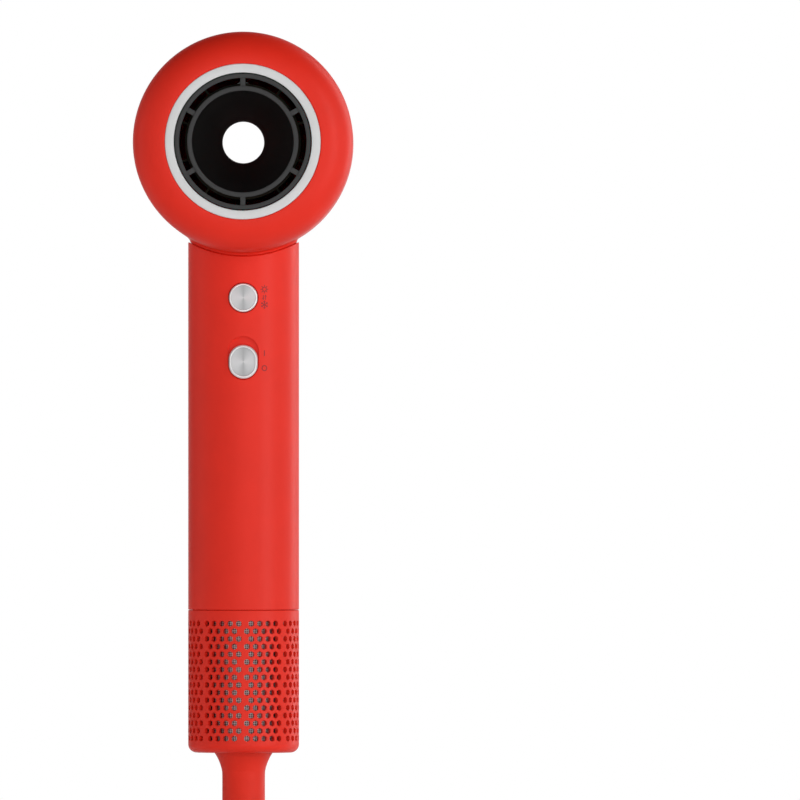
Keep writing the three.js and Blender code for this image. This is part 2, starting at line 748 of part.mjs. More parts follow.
/** Strap round the middle of the hank. */
function cordTie() {
  const across = 2 * HANK_FOLD_RADIUS + CORD_DIAMETER + 2 * GAP;
  const deep = (HANK_PLANES - 1) * HANK_PITCH + CORD_DIAMETER + 2 * GAP;
  const thick = 1.4;
  const place = [0, 0, HANK_TOP - 48];
  return box(across + 2 * thick, deep + 2 * thick, 14, ...place).subtract(box(across, deep, 20, ...place));
}

function plugBody() {
  const section = new THREE.Shape();
  section.absarc(-6, 0, 11, Math.PI / 2, 1.5 * Math.PI, false);
  section.absarc(6, 0, 11, -Math.PI / 2, Math.PI / 2, false);
  section.closePath();
  const settings = { depth: 38, bevelEnabled: false, curveSegments: 10 };
  const grip = solid(new THREE.ExtrudeGeometry(section, settings)).translate([0, 0, -50]);
  const boot = standing([[0, 0], [4.6, 0], [6.4, -13], [0, -13]], 20);
  const pinHoles = [-9.5, 9.5].map((x) => bar(2.7, -52, -44, 16).translate([x, 0, 0]));
  return pinHoles.reduce((rest, hole) => rest.subtract(hole), grip.add(boot));
}

const plugPlace = [PLUG_X, PLUG_Y, PLUG_TOP];
piece(dryer, 'cord_lead', tube(smoothCurve(LEAD_ROUTE), CORD_DIAMETER / 2, 10, 14), redSoft);
piece(dryer, 'cord_hank', cordHank(), redSoft);
piece(dryer, 'cord_tie', cordTie(), rubber);
piece(dryer, 'cord_tail', tube(smoothCurve(TAIL_ROUTE), CORD_DIAMETER / 2, 10, 8), redSoft);
piece(dryer, 'plug_body', plugBody().translate(plugPlace), redSoft);
[-9.5, 9.5].forEach((x, i) => {
  const pin = standing([[0, -44.3], [2.4, -44.3], [2.4, -68], [1.4, -69], [0, -69]], 16);
  piece(dryer, `plug_pin_${i + 1}`, pin.translate([x, 0, 0]).translate(plugPlace), brass);
});

export default dryer;
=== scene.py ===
"""Looks of a hair dryer with an open ring-shaped head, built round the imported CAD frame.

Shapes are written in millimetres in the CAD frame and become metres when a mesh is made: +Z runs up the
handle, the outlet faces -Y, and the swirled rear face looks towards +Y.
"""

import json
import math

import bmesh
import bpy
import numpy as np
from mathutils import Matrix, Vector


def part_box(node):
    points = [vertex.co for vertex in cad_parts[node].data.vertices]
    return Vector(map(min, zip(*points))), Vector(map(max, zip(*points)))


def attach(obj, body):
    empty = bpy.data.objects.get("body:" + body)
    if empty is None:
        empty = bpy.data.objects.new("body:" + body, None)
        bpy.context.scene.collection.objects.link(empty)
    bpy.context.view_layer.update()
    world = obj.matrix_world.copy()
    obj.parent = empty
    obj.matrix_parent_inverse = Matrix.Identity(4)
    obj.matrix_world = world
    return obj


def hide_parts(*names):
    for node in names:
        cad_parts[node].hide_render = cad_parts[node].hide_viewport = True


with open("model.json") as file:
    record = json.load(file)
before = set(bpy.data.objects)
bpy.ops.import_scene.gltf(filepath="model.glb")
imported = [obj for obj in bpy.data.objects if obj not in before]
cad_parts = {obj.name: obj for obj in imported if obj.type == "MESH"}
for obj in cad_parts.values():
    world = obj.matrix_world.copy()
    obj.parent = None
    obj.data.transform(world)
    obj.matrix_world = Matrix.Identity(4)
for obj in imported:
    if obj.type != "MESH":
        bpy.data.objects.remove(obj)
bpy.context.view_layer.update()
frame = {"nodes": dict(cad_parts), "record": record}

# ---- sizes, in millimetres

MM = 0.001
SIDES = 192  # points round the head and round the handle


def extent(node):
    """Lowest and highest corner of a CAD node, in millimetres."""
    low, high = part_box(node)
    return np.array(low) / MM, np.array(high) / MM


ring_low, ring_high = extent("outlet_ring")
shell_low, shell_high = extent("head_shell")
bezel_low, bezel_high = extent("rear_bezel")
CONE_BACK = extent("inner_cone")[1][1]
handle_low, handle_high = extent("handle_tube")
COVER_BOTTOM = extent("intake_cover")[0][2]
mesh_low, mesh_high = extent("intake_mesh")
relief_low, relief_high = extent("strain_relief")
button_low, button_high = extent("cool_button")
slider_low, slider_high = extent("power_slider")
hank_low, hank_high = extent("cord_hank")
tie_low, tie_high = extent("cord_tie")
plug_low, plug_high = extent("plug_body")

HEAD_Z = (ring_low[2] + ring_high[2]) / 2
HEAD_RADIUS = shell_high[0]
HEAD_FRONT = shell_low[1]
HEAD_REAR = shell_high[1]
HEAD_WALL = 2.0
FRONT_ROUND = 11.5
REAR_ROUND = 1.3
OUTLET_RADIUS = ring_high[0] + 0.3
RING_OUTER = OUTLET_RADIUS - 0.05
RING_INNER = 24.4
RING_ROUND = 0.35
GRILLE_RINGS = ((24.1, 22.5), (19.7, 18.0))
GRILLE_RECESS = 0.6
GRILLE_DEPTH = 8.0
RIB_COUNT = 6
RIB_WIDTH = 1.85
CONE_MOUTH = 17.95
BEZEL_RADIUS = bezel_high[0]
BELL_RADIUS = 22.2
BELL_Y = 27.0
BELL_JOINT_RADIUS = 11.5
TUNNEL_WALL = 1.6
THROAT_RADIUS = 7.4
THROAT_Y = -13.0
RIM_RADIUS = 36.9
RIM_Y = HEAD_REAR
CONTROL_RADIUS = 28.4
ROCKER_HALF_WIDTH = 2.2
ROCKER_HALF_ANGLE = 24.9
ROCKER_RISE = 0.87  # above the slope that it follows
LED_RADIUS = 0.38
LED_ANGLES = (19.5, 32.5, 45.5)
NECK_RADIUS = 19.0
NECK_BORE = 15.0
SPIGOT_RADIUS = 16.9
SPIGOT_BOTTOM = 63.0
HANDLE_RADIUS = handle_high[0]
HANDLE_BORE = 18.0
HANDLE_TOP_ARC = 40.3
BUTTON_Z = (button_low[2] + button_high[2]) / 2
BUTTON_RADIUS = 5.1
BUTTON_HOLE = 5.35
SLIDER_Z = (slider_low[2] + slider_high[2]) / 2
SLIDER_HALF = ((slider_high[0] - slider_low[0]) / 2, (slider_high[2] - slider_low[2]) / 2)
RECESS_Z = 33.5
RECESS_HALF = (5.45, 7.65)
RECESS_FLOOR_Y = -18.0
COVER_BORE = 18.1
COVER_ROUND = 3.0
COVER_FLOOR = 1.6
COVER_HOLE = 10.6
CORD_DIAMETER = 7.2

# ---- shader nodes


def feed(tree, node, inputs):
    """Sets each named or numbered input of a node, or links it to another node's output."""
    for name, value in inputs.items():
        if isinstance(value, bpy.types.NodeSocket):
            tree.links.new(value, node.inputs[name])
        else:
            node.inputs[name].default_value = value


def add_node(tree, kind, inputs=None, **settings):
    node = tree.nodes.new("ShaderNode" + kind)
    for name, value in settings.items():
        setattr(node, name, value)
    feed(tree, node, inputs or {})
    return node


# ---- camera and light

VIEW_WIDTH = 0.2844  # metres that the view spans at the handle's axis
CAMERA_DISTANCE = 9.48
VIEW_CENTRE = (0.0556, 0.0186)  # x and z that the camera looks at
ROOM_FILL = 0.9  # how bright the room is at eye level; it darkens upward and downward
GLOSS_SIDES = 0.03  # brightness of the room that shows in glossy surfaces, to the sides
GLOSS_FRONT = 1.6  # how much more there is straight in front
GLOSS_REAR = 1.4  # and straight behind
LIGHT_DISTANCE = 1.8
# name, azimuth from the front towards +X, elevation, width, height, power, and whether it shows in gloss
SOFT_LIGHTS = (
    ("light_front", 12, -8, 1.2, 1.2, 15.0, False),
    ("light_front_right", 50, 3, 0.6, 1.8, 9.0, True),
    ("light_right", 90, 10, 0.9, 1.4, 3.0, False),
    ("light_rim", 130, 8, 0.5, 2.8, 12.0, True),
    ("light_rear", 165, 5, 1.0, 1.4, 4.5, False),
    ("light_rear_top", 155, 42, 0.8, 0.8, 9.0, False),
    ("light_left", -98, -3, 0.9, 1.4, 6.0, False),
)


def set_camera():
    data = bpy.data.cameras.new("camera")
    data.sensor_width = 36
    data.lens = data.sensor_width * CAMERA_DISTANCE / VIEW_WIDTH
    data.clip_end = 100
    camera = bpy.data.objects.new("camera", data)
    camera.location = (VIEW_CENTRE[0], -CAMERA_DISTANCE, VIEW_CENTRE[1])
    camera.rotation_euler = (math.pi / 2, 0, 0)
    bpy.context.scene.collection.objects.link(camera)
    bpy.context.scene.camera = camera


def set_world():
    """White to the camera, a level band of light to the object, and in gloss a room that is dark overhead."""
    world = bpy.data.worlds.new("studio")
    world.use_nodes = True
    tree = world.node_tree
    tree.nodes.clear()

    def calc(operation, *values):
        return add_node(tree, "Math", dict(enumerate(values)), operation=operation).outputs[0]

    def product(first, second, *more):
        result = calc("MULTIPLY", first, second)
        return product(result, *more) if more else result

    def lobe(side, amount):
        towards = calc("MAXIMUM", product(split.outputs["Y"], side), 0.0)
        squared = product(towards, towards)
        fourth = product(squared, squared)
        return product(fourth, fourth, amount)

    coordinates = add_node(tree, "TexCoord")
    split = add_node(tree, "SeparateXYZ", {0: coordinates.outputs["Generated"]})
    path = add_node(tree, "LightPath")
    is_gloss = path.outputs["Is Glossy Ray"]
    level = calc("SUBTRACT", 1.0, product(split.outputs["Z"], split.outputs["Z"]))
    band = product(level, level, level)
    room_in_gloss = calc("ADD", calc("ADD", lobe(-1.0, GLOSS_FRONT), lobe(1.0, GLOSS_REAR)), GLOSS_SIDES)
    in_gloss = product(room_in_gloss, band, is_gloss)
    fill = product(calc("SUBTRACT", 1.0, is_gloss), product(band, ROOM_FILL))
    room = add_node(tree, "Background", {"Strength": calc("ADD", in_gloss, fill)})
    backdrop = add_node(tree, "Background", {"Color": (1, 1, 1, 1)})
    shown = {0: path.outputs["Is Camera Ray"], 1: room.outputs[0], 2: backdrop.outputs[0]}
    add_node(tree, "OutputWorld", {0: add_node(tree, "MixShader", shown).outputs[0]})
    bpy.context.scene.world = world


def add_light(name, azimuth, elevation, width, height, power, in_gloss):
    """A soft rectangular light that faces the handle; azimuth 0 is in front and 90 on the +X side."""
    data = bpy.data.lights.new(name, "AREA")
    data.shape = "RECTANGLE"
    data.size, data.size_y = width, height
    data.energy = power
    light = bpy.data.objects.new(name, data)
    turn, lift = math.radians(azimuth), math.radians(elevation)
    towards = Vector((math.sin(turn) * math.cos(lift), -math.cos(turn) * math.cos(lift), math.sin(lift)))
    light.location = towards * LIGHT_DISTANCE
    light.rotation_mode = "QUATERNION"
    light.rotation_quaternion = towards.to_track_quat("Z", "Y")
    light.visible_camera = False
    light.visible_glossy = in_gloss
    bpy.context.scene.collection.objects.link(light)


def set_stage():
    set_camera()
    set_world()
    for row in SOFT_LIGHTS:
        add_light(*row)
    bpy.context.scene.view_settings.view_transform = "Standard"


set_stage()

# ---- mesh helpers


def loft(rings, wrap=False, twist=0):
    """Points and faces of a closed shape through rings of equally many points.

    wrap joins the last ring to the first, turned by twist points; otherwise both ends are capped.
    """
    count = len(rings[0])
    points = [point for ring in rings for point in ring]
    faces = []
    for i in range(len(rings) if wrap else len(rings) - 1):
        a, b = i * count, (i + 1) % len(rings) * count
        shift = twist if i == len(rings) - 1 else 0
        for j in range(count):
            k = (j + 1) % count
            faces.append((a + j, a + k, b + (k + shift) % count, b + (j + shift) % count))
    if not wrap:
        faces.append(tuple(range(count)))
        faces.append(tuple(range(len(points) - count, len(points))))
    return points, faces


def mesh_of(shape):
    """A mesh in metres from points in millimetres, with its faces pointing out."""
    points, faces = shape
    mesh = bpy.data.meshes.new("shape")
    mesh.from_pydata([tuple(MM * c for c in point) for point in points], [], faces)
    work = bmesh.new()
    work.from_mesh(mesh)
    bmesh.ops.recalc_face_normals(work, faces=work.faces)
    work.to_mesh(mesh)
    work.free()
    return mesh


def added(meshes):
    """Several meshes as one."""
    work = bmesh.new()
    for mesh in meshes:
        work.from_mesh(mesh)
    whole = bpy.data.meshes.new("shape")
    work.to_mesh(whole)
    work.free()
    return whole


def boolean(base, tools, operation="DIFFERENCE"):
    """The base mesh joined with or cut by each of the closed tool meshes."""
    target = bpy.data.objects.new("target", base)
    others = [bpy.data.objects.new("tool", tool) for tool in tools]
    for thing in (target, *others):
        bpy.context.scene.collection.objects.link(thing)
    for other in others:
        step = target.modifiers.new("step", "BOOLEAN")
        step.operation = operation
        step.solver = "MANIFOLD"
        step.object = other
    result = bpy.data.meshes.new_from_object(target.evaluated_get(bpy.context.evaluated_depsgraph_get()))
    for thing in (target, *others):
        bpy.data.objects.remove(thing)
    return result


def piece(name, mesh, material, body, nodes=(), slot=None, sharp=30, smooth_round=None):
    """A finished piece that rides on a body and stands for CAD nodes; slot is not used, as the material is
    given.

    smooth_round gives the true surface normal at a point, for cut meshes whose facets would show.
    """
    mesh.name = name
    mesh.materials.clear()
    mesh.materials.append(material)
    mesh.polygons.foreach_set("use_smooth", [True] * len(mesh.polygons))
    mesh.set_sharp_from_angle(angle=math.radians(sharp))
    if smooth_round:
        normals = [(0.0, 0.0, 0.0)] * len(mesh.loops)
        for polygon in mesh.polygons:
            for index in polygon.loop_indices:
                point = mesh.vertices[mesh.loops[index].vertex_index].co
                true = smooth_round(point)
                if true is not None and polygon.normal.dot(true) > 0.985:
                    normals[index] = tuple(true)
        mesh.normals_split_custom_set(normals)
    made = bpy.data.objects.new(name, mesh)
    bpy.context.scene.collection.objects.link(made)
    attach(made, body)
    if nodes:
        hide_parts(*nodes)
    return made


def stand_in(name, mesh, slot, node, body="casing", material=None, **more):
    """A piece that stands for one CAD node, with the finish of its slot unless another one is given."""
    return piece(name, mesh, material or finishes[slot], body, [node], slot, **more)


def from_handle_axis(point):
    """Outward direction from the handle's axis."""
    return Vector((point.x, point.y, 0)).normalized()


def polar(u, v, distance, angle):
    """The place at a distance from (u, v), in the direction of an angle."""
    return u + distance * math.cos(angle), v + distance * math.sin(angle)


def circle(u, v, radius, count):
    return [polar(u, v, radius, 2 * math.pi * i / count) for i in range(count)]


def round_y(radius, y, sides=SIDES, centre_x=0.0, centre_z=HEAD_Z):
    """A ring about the head's axis, or about a parallel one."""
    return [(x, y, z) for x, z in circle(centre_x, centre_z, radius, sides)]


def round_z(radius, z, sides=SIDES, centre_x=0.0, centre_y=0.0):
    """A ring about the handle's axis, or about a parallel one."""
    return [(x, y, z) for x, y in circle(centre_x, centre_y, radius, sides)]


def turned(outline):
    """A closed outline of (radius, y) turned about the head's axis."""
    return mesh_of(loft([round_y(r, y) for r, y in outline], wrap=True))


def standing(outline):
    """A closed outline of (radius, z) turned about the handle's axis."""
    return mesh_of(loft([round_z(r, z) for r, z in outline], wrap=True))


def solid_bar(outline, sides, x=0.0, y=0.0):
    """A solid turned about an upright axis from (radius, z) points, with flat ends."""
    return mesh_of(loft([round_z(r, z, sides, x, y) for r, z in outline]))


def level_bar(outline, sides, x, z):
    """A solid turned about a level axis from (radius, y) points, with flat ends."""
    return mesh_of(loft([round_y(r, y, sides, x, z) for r, y in outline]))


def block(half_x, low_z, high_z, front_y, back_y):
    corners = [(-half_x, low_z), (half_x, low_z), (half_x, high_z), (-half_x, high_z)]
    return mesh_of(loft([[(x, y, z) for x, z in corners] for y in (front_y, back_y)]))


def arc(u, v, size, start, stop, steps):
    """Points of a round stretch of an outline about (u, v), between two angles in degrees."""
    angles = [math.radians(start + (stop - start) * i / steps) for i in range(steps + 1)]
    return [polar(u, v, size, a) for a in angles]


def softened(outline, size):
    """A closed outline with its corners rounded; points where it barely turns stay as they are."""
    result = []
    for i, here in enumerate(outline):
        back = np.subtract(outline[i - 1], here)
        on = np.subtract(outline[(i + 1) % len(outline)], here)
        lengths = np.linalg.norm(back), np.linalg.norm(on)
        turn = math.pi - math.acos(np.clip(np.dot(back, on) / (lengths[0] * lengths[1]), -1, 1))
        if turn < math.radians(25):
            result.append(tuple(here))
            continue
        reach = min(size, 0.45 * min(lengths))
        start = np.array(here) + back / lengths[0] * reach
        stop = np.array(here) + on / lengths[1] * reach
        result += [tuple(place) for place in bend(start, np.array(here), stop, 3)]
    return result


def bend(start, corner, stop, steps):
    """A curve from start to stop that leans towards the corner."""
    shares = [k / steps for k in range(steps + 1)]
    return [(1 - t) ** 2 * start + 2 * t * (1 - t) * corner + t * t * stop for t in shares]


def smooth_line(points, steps):
    """A Catmull-Rom line through points, with so many steps between each two."""
    points = np.array(points, float)
    padded = np.vstack([2 * points[0] - points[1], points, 2 * points[-1] - points[-2]])
    line = []
    for i in range(len(points) - 1):
        p0, p1, p2, p3 = padded[i : i + 4]
        for k in range(steps):
            t = k / steps
            line.append(
                0.5 * (2 * p1 + (p2 - p0) * t + (2 * p0 - 5 * p1 + 4 * p2 - p3) * t**2
                       + (3 * p1 - p0 - 3 * p2 + p3) * t**3)
            )
    line.append(points[-1])
    return [tuple(p) for p in line]


def stadium(half_width, half_height):
    """An upright outline with half-round ends, as (x, z) offsets from its middle."""
    straight = half_height - half_width
    return [(x, z + math.copysign(straight, z)) for x, z in circle(0, 0, half_width, 96)]


# ---- materials


def add_noise(tree, scale, detail):
    """A noise texture in the object's own space."""
    place = add_node(tree, "TexCoord").outputs["Object"]
    return add_node(tree, "TexNoise", {"Vector": place, "Scale": scale, "Detail": detail}).outputs[0]


def add_range(tree, source, low, high):
    """source from 0.3 to 0.7, spread between two values."""
    ends = {"From Min": 0.3, "From Max": 0.7, "To Min": low, "To Max": high}
    return add_node(tree, "MapRange", {"Value": source, **ends}).outputs["Result"]


def tint(tree, factor, dark, light):
    """A colour from dark, where factor is 0, to light, where it is 1."""
    ends = {"A": (*dark, 1), "B": (*light, 1)}
    return add_node(tree, "Mix", {"Factor": factor, **ends}, data_type="RGBA").outputs["Result"]


def add_bump(tree, height, depth):
    """A bump of a real depth in metres."""
    return add_node(tree, "Bump", {"Distance": depth, "Height": height}).outputs["Normal"]


def feed_shader(material, inputs):
    feed(material.node_tree, material.node_tree.nodes["Principled BSDF"], inputs)


def surface(name, color, roughness, metallic=0.0, grain=3500.0, depth=0.000006, mottle=60.0, contrast=0.05,
            spread=0.04, specular=0.5, coat=0.0):
    """A moulded or painted surface: broad colour mottling, fine grain in its gloss and height."""
    material = bpy.data.materials.new(name)
    material.use_nodes = True
    tree = material.node_tree
    broad = add_noise(tree, mottle, 4.0)
    fine = add_noise(tree, grain, 2.0)
    dark = [c * (1 - contrast) for c in color]
    light = [min(1.0, c * (1 + contrast)) for c in color]
    feed_shader(material, {
        "Metallic": metallic,
        "Specular IOR Level": specular,
        "Coat Weight": coat,
        "Base Color": tint(tree, add_range(tree, broad, 0.0, 1.0), dark, light),
        "Roughness": add_range(tree, fine, roughness - spread, roughness + spread),
        "Normal": add_bump(tree, fine, depth),
    })
    return material


def spun_metal_painted_sheen(name, centre_z):
    """Metal brushed in circles about a point on the front of the handle; a painted sheen darkens it above and
    below.
    """
    color, roughness = (0.88, 0.88, 0.89), 0.33
    material = surface(name, color, roughness, metallic=1.0)
    tree = material.node_tree
    place = add_node(tree, "TexCoord").outputs["Object"]
    flat = {0: place, 1: (1, 0, 1), 2: (0, 0, -centre_z * MM)}
    offset = add_node(tree, "VectorMath", flat, operation="MULTIPLY_ADD").outputs[0]
    distance = add_node(tree, "VectorMath", {0: offset}, operation="LENGTH").outputs["Value"]
    brush = {"W": distance, "Scale": 9000, "Detail": 3}
    rings = add_node(tree, "TexNoise", brush, noise_dimensions="1D").outputs[0]
    towards = add_node(tree, "VectorMath", {0: offset}, operation="NORMALIZE").outputs[0]
    across = add_node(tree, "SeparateXYZ", {0: towards}).outputs["X"]
    sideways = add_node(tree, "Math", {0: across}, operation="ABSOLUTE").outputs[0]
    # painted sheen: lighter to the sides of the middle and darker above and below it, where circular brushing
    # would catch the light
    painted_sheen_wedges = tint(tree, sideways, [c * 0.55 for c in color], color)
    ringed = {"Factor": 0.18, "A": painted_sheen_wedges, "B": rings}
    brushed = add_node(tree, "Mix", ringed, data_type="RGBA", blend_type="MULTIPLY")
    feed_shader(material, {
        "Anisotropic": 0.85,
        "Tangent": add_node(tree, "Tangent", direction_type="RADIAL", axis="Y").outputs[0],
        "Base Color": brushed.outputs["Result"],
        "Roughness": add_range(tree, rings, roughness - 0.05, roughness + 0.07),
        "Normal": add_bump(tree, rings, 0.000002),
    })
    return material


def woven_metal_painted_shade(name):
    """Steel wire cloth with painted shade: near black down between its wires and light on their tops."""
    material = surface(name, (0.4, 0.4, 0.41), 0.32, metallic=1.0)
    tree = material.node_tree
    painted_gap_shade = add_node(tree, "Attribute", attribute_name="painted_gap_shade").outputs["Fac"]
    feed_shader(material, {"Base Color": tint(tree, painted_gap_shade, (0.002, 0.002, 0.002), (0.95, 0.95, 0.95))})
    return material


def lamp_glow(name, color, strength):
    material = surface(name, color, 0.3, grain=6000)
    feed_shader(material, {"Emission Color": (*color, 1), "Emission Strength": strength})
    return material


finishes = {
    "red_satin": surface("red_satin", (0.80, 0.026, 0.012), 0.42, contrast=0.03, specular=0.25),
    "soft_red": surface("soft_red", (0.72, 0.027, 0.012), 0.48, grain=2500, depth=0.00001, contrast=0.04,
                        specular=0.2),
    "silver": surface("silver", (0.74, 0.74, 0.74), 0.5, metallic=0.3, contrast=0.03),
    "aluminium": surface("aluminium", (0.62, 0.62, 0.63), 0.3, metallic=1.0),
    "chrome": surface("chrome", (0.84, 0.70, 0.67), 0.3, metallic=0.85, grain=1500, depth=0.0000001,
                      spread=0.02),
    "grey_plastic": surface("grey_plastic", (0.042, 0.042, 0.042), 0.5, depth=0.00001, specular=0.3),
    "black_plastic": surface("black_plastic", (0.003, 0.003, 0.003), 0.7, depth=0.00001, specular=0.1),
    "steel": surface("steel", (0.42, 0.42, 0.43), 0.34, metallic=1.0, grain=1800),
    "mica": surface("mica", (0.02, 0.016, 0.01), 0.6, mottle=700, contrast=0.35, specular=0.1),
    "circuit_board": surface("circuit_board", (0.02, 0.12, 0.05), 0.4, mottle=900, contrast=0.4, coat=0.4),
    "rubber": surface("rubber", (0.016, 0.016, 0.017), 0.75, grain=2000, depth=0.000015),
    "copper": surface("copper", (0.6, 0.22, 0.09), 0.3, metallic=1.0, mottle=1500, contrast=0.3),
    "brass": surface("brass", (0.68, 0.5, 0.2), 0.24, metallic=1.0, grain=1500),
    "white_lens": lamp_glow("white_lens", (1.0, 1.0, 1.0), 0.8),
    "red_lens": lamp_glow("red_lens", (1.0, 0.02, 0.012), 0.4),
}
# painted shade: a darker, nearly unglossy red for the bell deep inside the tunnel
bell_painted_shade = surface("bell_painted_shade", (0.50, 0.009, 0.003), 0.5, contrast=0.03, specular=0.03)
mark_red = surface("mark_red", (0.28, 0.03, 0.032), 0.5, specular=0.2)
mark_black = surface("mark_black", (0.008, 0.005, 0.005), 0.6, specular=0.1)
spun_button_painted_sheen = spun_metal_painted_sheen("spun_button_painted_sheen", BUTTON_Z)
spun_slider_painted_sheen = spun_metal_painted_sheen("spun_slider_painted_sheen", SLIDER_Z)
bright_edge = surface("bright_edge", (0.97, 0.97, 0.98), 0.35, metallic=0.7)

# ---- mains lead

LEAD_ROUTE = [
    (0, 0, -152.3), (0, 0, -156), (0, 0, -160), (0, -0.1, -164), (0, -0.6, -168), (0, -1.6, -172),
    (0, -3.1, -176), (0, -5.1, -180), (0, -7.3, -184), (-0.1, -9.5, -188), (-0.4, -11.5, -191.5),
    (-1.0, -13.2, -195), (-1.7, -14.2, -197.6), (-2.6, -14.8, -200.4),
]
INTO_HANK = [
    (-4.4, -15.6, -205), (-7.2, -16.1, -210.5), (-11.2, -16.3, -217), (-15.4, -16.2, -224),
    (-18.8, -15.8, -231), (-20.9, -15.3, -238), (-21.6, -15, -244),
]
OUT_OF_HANK = [
    (-21.6, 15, -257), (-21.6, 16.4, -261.5), (-21.5, 19.2, -266.8),
]
TAIL_ROUTE = [
    (-21.1, 22.4, -272), (-20.3, 25.2, -276.5), (-19.3, 27.6, -281), (-18.1, 29.6, -285.5),
    (-16.8, 31.1, -290), (-15.6, 32.1, -294.5), (-14.8, 32.5, -299), (-14.5, 32.6, -303),
]
FOLD_RADIUS = 3 * CORD_DIAMETER
FOLD_TOP_Z = hank_high[2] - FOLD_RADIUS - CORD_DIAMETER / 2
FOLD_BOTTOM_Z = hank_low[2] + FOLD_RADIUS + CORD_DIAMETER / 2
RUNS = 9
RUN_STEP_Y = 3.75


def hank_route():
    """The folded runs: down on the left, round, up on the right, and on, one step further back each time."""
    route = []
    for run in range(RUNS):
        side = -1 if run % 2 == 0 else 1
        y = RUN_STEP_Y * (run - (RUNS - 1) / 2)
        start, stop = (FOLD_TOP_Z, FOLD_BOTTOM_Z) if side < 0 else (FOLD_BOTTOM_Z, FOLD_TOP_Z)
        first = INTO_HANK[-1][2] - 4 if run == 0 else start
        last = OUT_OF_HANK[0][2] + 3 if run == RUNS - 1 else stop
        steps = max(2, round(abs(last - first) / 4))
        route += [(side * FOLD_RADIUS, y, first + (last - first) * i / steps) for i in range(steps + 1)]
        if run == RUNS - 1:
            break
        turn = -1 if side < 0 else 1
        for i in range(1, 24):
            a = math.pi * i / 24
            x = side * FOLD_RADIUS * math.cos(a)
            route.append((x, y + RUN_STEP_Y * i / 24, stop + turn * FOLD_RADIUS * math.sin(a)))
    return route


def mains_lead():
    line = smooth_line([*LEAD_ROUTE, *INTO_HANK, *hank_route(), *OUT_OF_HANK, *TAIL_ROUTE], 2)
    data = bpy.data.curves.new("mains_lead", "CURVE")
    data.dimensions = "3D"
    data.bevel_depth = CORD_DIAMETER / 2 * MM
    data.bevel_resolution = 6
    data.use_fill_caps = True
    spline = data.splines.new("POLY")
    spline.points.add(len(line) - 1)
    for point, place in zip(spline.points, line):
        point.co = (*(MM * c for c in place), 1)
    data.materials.append(finishes["soft_red"])
    lead = bpy.data.objects.new("mains_lead", data)
    bpy.context.scene.collection.objects.link(lead)
    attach(lead, "casing")
    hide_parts("cord_lead", "cord_hank", "cord_tail")
    return lead


def cord_tie():
    """A soft strap round the hank."""
    middle = (tie_low + tie_high) / 2
    half = (tie_high - tie_low) / 2
    thick = 1.4

    def band(inset, z):
        corner = 9.0 - inset
        ring = []
        for i in range(96):
            a = 2 * math.pi * (i + 0.5) / 96
            side_x = 1 if math.cos(a) > 0 else -1
            side_y = 1 if math.sin(a) > 0 else -1
            x = side_x * (half[0] - inset - corner) + corner * math.cos(a)
            y = side_y * (half[1] - inset - corner) + corner * math.sin(a)
            ring.append((middle[0] + x, middle[1] + y, z))
        return ring

    profile = softened([(0, -half[2]), (0, half[2]), (thick, half[2]), (thick, -half[2])], 0.4)
    strap = mesh_of(loft([band(inset, middle[2] + z) for inset, z in profile], wrap=True))
    return stand_in("cord_tie_strap", strap, "rubber", "cord_tie")


def plug():
    """A moulded two-pin plug with a waisted grip and a ribbed boot."""
    centre = (plug_low[:2] + plug_high[:2]) / 2
    top, bottom = plug_high[2], plug_low[2]
    grip_top = top - 12

    def bulged(share, half):
        return half * math.copysign(abs(share) ** 0.72, share)

    def section(scale_x, scale_y, z):
        half_x, half_y = 17.0 * scale_x, 11.0 * scale_y
        outline = circle(0, 0, 1, 96)
        return [(centre[0] + bulged(u, half_x), centre[1] + bulged(v, half_y), z) for u, v in outline]

    outline = smooth_line([
        (0.36, 0.55, grip_top), (0.66, 0.86, grip_top - 1.6), (0.9, 0.98, grip_top - 6),
        (0.93, 0.9, grip_top - 13), (0.86, 0.82, grip_top - 20), (0.9, 0.88, grip_top - 27),
        (0.99, 0.99, grip_top - 33), (1.0, 1.0, bottom + 1.2), (0.97, 0.96, bottom + 0.3),
        (0.93, 0.9, bottom),
    ], 6)
    grip = mesh_of(loft([section(*row) for row in outline]))
    boot_outline = [(4.3, top)]
    for i in range(4):
        z, wide, narrow = top - 1.4 - 2.6 * i, 4.95 + 0.42 * i, 4.25 + 0.42 * i
        boot_outline += [(wide, z), (wide, z - 1.2), (narrow, z - 1.5), (narrow, z - 2.3)]
    boot = solid_bar([*boot_outline, (6.4, top - 14)], 48, *centre)
    pieces = [stand_in("plug_grip", added([grip, boot]), "soft_red", "plug_body", sharp=40)]
    for i in (1, 2):
        low, high = extent(f"plug_pin_{i}")
        radius, tip = (high[0] - low[0]) / 2, low[2] + 1.2
        outline = [(radius, high[2]), (radius, tip), *arc(radius - 1.2, tip, 1.2, 0, -80, 6)]
        pin = solid_bar(outline, 32, *((low[:2] + high[:2]) / 2))
        pieces.append(stand_in(f"brass_pin_{i}", pin, "brass", f"plug_pin_{i}"))
    return pieces


lead = mains_lead()
tie = cord_tie()
plug_pieces = plug()

# ---- head casing


